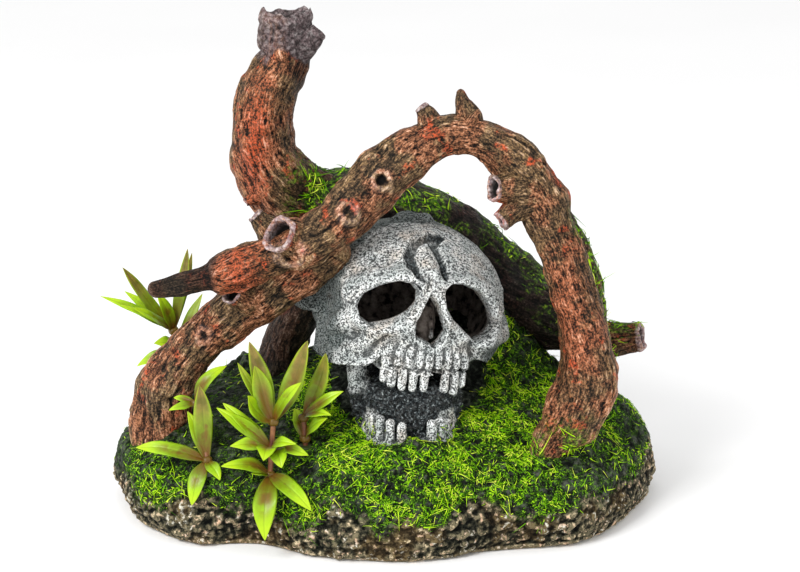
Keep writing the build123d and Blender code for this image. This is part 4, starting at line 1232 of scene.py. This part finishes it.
def studio():
    """A white floor, a bright surround, a large soft key light and the camera."""
    white = Surface("studio_white", Specular_IOR_Level=0.1)
    tint = white.ramp(white.noise(400.0, 2.0), [(0.3, "F4F4F4"), (0.7, "F8F8F8")])
    mesh = bpy.data.meshes.new("floor")
    corners = square(-FLOOR_HALF, FLOOR_HALF, -FLOOR_HALF, FLOOR_HALF)
    mesh.from_pydata([(x * MM, y * MM, -0.0002) for x, y in corners], [], [[0, 1, 2, 3]])
    mesh.materials.append(white.finish(tint, 0.9))
    added("floor", mesh)
    world = bpy.data.worlds.new("surround")
    world.use_nodes = True
    world.node_tree.nodes["Background"].inputs["Color"].default_value = (1, 1, 1, 1)
    world.node_tree.nodes["Background"].inputs["Strength"].default_value = 1.0
    bpy.context.scene.world = world
    bpy.context.scene.view_settings.view_transform = "Standard"
    for name, place, wide, power in LAMPS:
        light = bpy.data.lights.new(name, "AREA")
        light.size, light.energy = wide * MM, power
        aim(added(name, light), place, AIM)
    view = bpy.data.cameras.new("camera")
    view.lens, view.sensor_width = LENS, 36.0
    view.clip_start, view.clip_end = 0.05, 20
    camera = added("camera", view)
    rise = math.radians(RISE)
    aim(camera, (AIM[0], AIM[1] - FAR * math.cos(rise), AIM[2] + FAR * math.sin(rise)), AIM)
    bpy.context.scene.camera = camera


def aim(thing, place, target):
    """Puts a lamp or camera in place and turns it to look at a point."""
    thing.location = Vector(place) * MM
    thing.rotation_euler = (Vector(target) - Vector(place)).to_track_quat("-Z", "Y").to_euler()


# ---- The whole ornament
def branch(line, end, seed, around=56):
    """A side branch that grows out of a root."""
    return root(line, ("buried", end), seed, spacing=0.5, around=around, stretch=3.0)


def arch_paint():
    """A mossy streak outside the arch's right leg and specks low on it, a dark tip, painted shade on the back, and
    orange patches.
    """

    def moss(v):
        x, y, z = v.T
        streak = step(x, 60, 68) * step(y, -22, -14) * step(-z, -122, -112)
        low = step(-z, -48, -28) * step(x, 40, 50)
        return np.clip(streak + low, 0, 1) * step(noise(v, 6.0, 201), 0.35, 0.6)

    def warm(v):
        x, y, z = v.T
        left = bump(x + 50, 9.0) * step(-y, 20, 25)
        right = bump(x - 63, 12.0) * bump(z - 78, 26.0) * step(-y, 20, 26)
        return np.clip(0.8 * left + 0.35 * right, 0, 1)

    # Dark paint on the tip, and painted shade on the back.
    return {"moss": moss, "warm": warm, "dull": lambda v: 0.8 * step(-v[:, 0], 56, 59) + 0.6 * step(v[:, 1], -14, -4)}


def stump_paint():
    """An ashen cap, painted shade on the right side and back, an orange streak, and moss where the stump meets the
    back root.
    """

    def cap(v):
        return step(v[:, 2] + 9 * layered(v, 7.0, 2, 209), 161, 163)

    def moss(v):
        return step(-v[:, 2], -132, -112) * step(v[:, 0], -38, -28) * step(noise(v, 6.0, 205), 0.2, 0.5)

    # Painted shade on the right side and back, and the dark grey of the cap.
    def dull(v):
        return np.clip(0.7 * step(v[:, 0], -36, -28) + 0.6 * step(v[:, 1], 22, 32) + 0.8 * cap(v), 0, 1)

    def warm(v):
        x, y, z = v.T
        return bump(x + 46 - 0.12 * (z - 130), 5.5) * bump(z - 131, 26.0) * step(-y, -20, -14)

    return {"moss": moss, "dull": dull, "warm": warm, "ash": lambda v: 0.35 * cap(v)}


def roots(material):
    """Every root as a piece. Returns what moss can grow on: points, weights and directions."""
    arch = [root(ROOT_ARCH, ("point", "buried"), 11, ARCH_KNOTS)]
    arch += [branch(line, end, seed) for seed, (line, end) in enumerate(ARCH_BRANCHES, start=40)]
    leg = [root(LEFT_LEG, ("buried", "buried"), 12, LEG_KNOTS), branch(LEG_BRANCH, "broken", 51)]
    stump = [root(STUMP, ("broken", "buried"), 13), *(branch(line, "broken", 52, 48) for line in STUMP_KNOBS)]
    back = root(BACK_ROOT, ("buried", "broken"), 14, around=120, spacing=0.7)
    back_leg = root(BACK_LEG, ("buried", "buried"), 15, around=72, spacing=0.8)
    prop = root(RIGHT_PROP, ("point", "buried"), 16, around=72, spacing=0.8)
    # The back of the left leg and the back root, back leg and right prop, which stand behind, are darkened as painted
    # shade.
    return [
        wood("root_arch", arch, material, **arch_paint()),
        wood("root_left_leg", leg, material, dull=lambda v: 0.6 * step(v[:, 1], -4, 4),
             moss=lambda v: step(-v[:, 2], -30, -16) * step(noise(v, 5.0, 207), 0.3, 0.6)),
        wood("root_stump", stump, material, **stump_paint()),
        wood("root_back", [back], material, dull=lambda v: 0.95 - 0.75 * step(v[:, 0], 78, 84),
             moss=lambda v: 0.7 * moss_on(v, back[1][0], 0.75, 1.1, 210)),
        wood("root_back_leg", [back_leg], material, dull=lambda v: np.full(len(v), 0.85)),
        wood("root_right_prop", [prop], material, dull=lambda v: np.full(len(v), 0.7),
             moss=lambda v: moss_on(v, prop[1][0], 0.5, 0.85, 213)),
    ]


def rock_moss(verts, faces, values, material):
    """Threads in clumps on the rock, clear of the sockets, so that the plants can lift and turn."""
    outs = normals(verts, faces)
    clump = step(noise(verts, 5.0, 290) + 0.6 * noise(verts, 2.0, 291), 0.78, 1.0)
    weight = values["moss"] * (0.05 + values["bright"] ** 1.5) * (0.035 + clump) * step(outs[:, 2], -0.2, 0.3)
    for name, (x, y, _) in PEGS.items():
        clear = 9.5 if name == "middle" else 6.0
        weight = weight * step(np.hypot(verts[:, 0] - x, verts[:, 1] - y), clear, clear + 0.5)
    for number in range(3):
        spots, away = pick(verts, outs, weight, ROCK_THREADS, 300 + number)
        strands(f"moss_{number + 1}", spots, away, 320 + number, 1.05, 0.17, material)


def root_moss(grown, material):
    """Longer threads on each root that has enough moss."""
    for number, (points, mossy, away) in enumerate(grown):
        if mossy.sum() > 50:
            spots, lean = pick(points, away, mossy**2 * step(mossy, 0.3, 0.8), ROOT_THREADS, 340 + number)
            strands(f"root_moss_{number + 1}", spots, lean, 350 + number, 2.0, 0.22, material)


def jaw_moss(verts, faces, material):
    """Threads low on the two sides of the jaw."""
    out = normals(verts, faces)
    sides = step(-verts[:, 2], -44, -35) * step(-out[:, 1], -0.2, 0.3)
    sides *= 0.1 + step(np.abs(verts[:, 0] - 8), 9, 15)
    strands("jaw_moss", *pick(verts, out, sides, JAW_THREADS, 360), 361, 1.4, 0.17, material)


def main():
    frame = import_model()
    bone = bone_material()
    verts, faces, values = skull()
    piece("skull_carved", verts, faces, bone, "bone", ["skull"], **values)
    jaw_verts, jaw_faces, values = lower_jaw()
    piece("jaw_carved", jaw_verts, jaw_faces, bone, "bone", ["lower_jaw"], **values)
    grown = roots(wood_material())
    surface = rock(rock_material())
    moss = moss_material()
    rock_moss(*surface, moss)
    root_moss(grown, moss)
    jaw_moss(jaw_verts, jaw_faces[0], moss)
    plants(leaf_material())
    paint_frame(frame["nodes"])
    studio()


main()
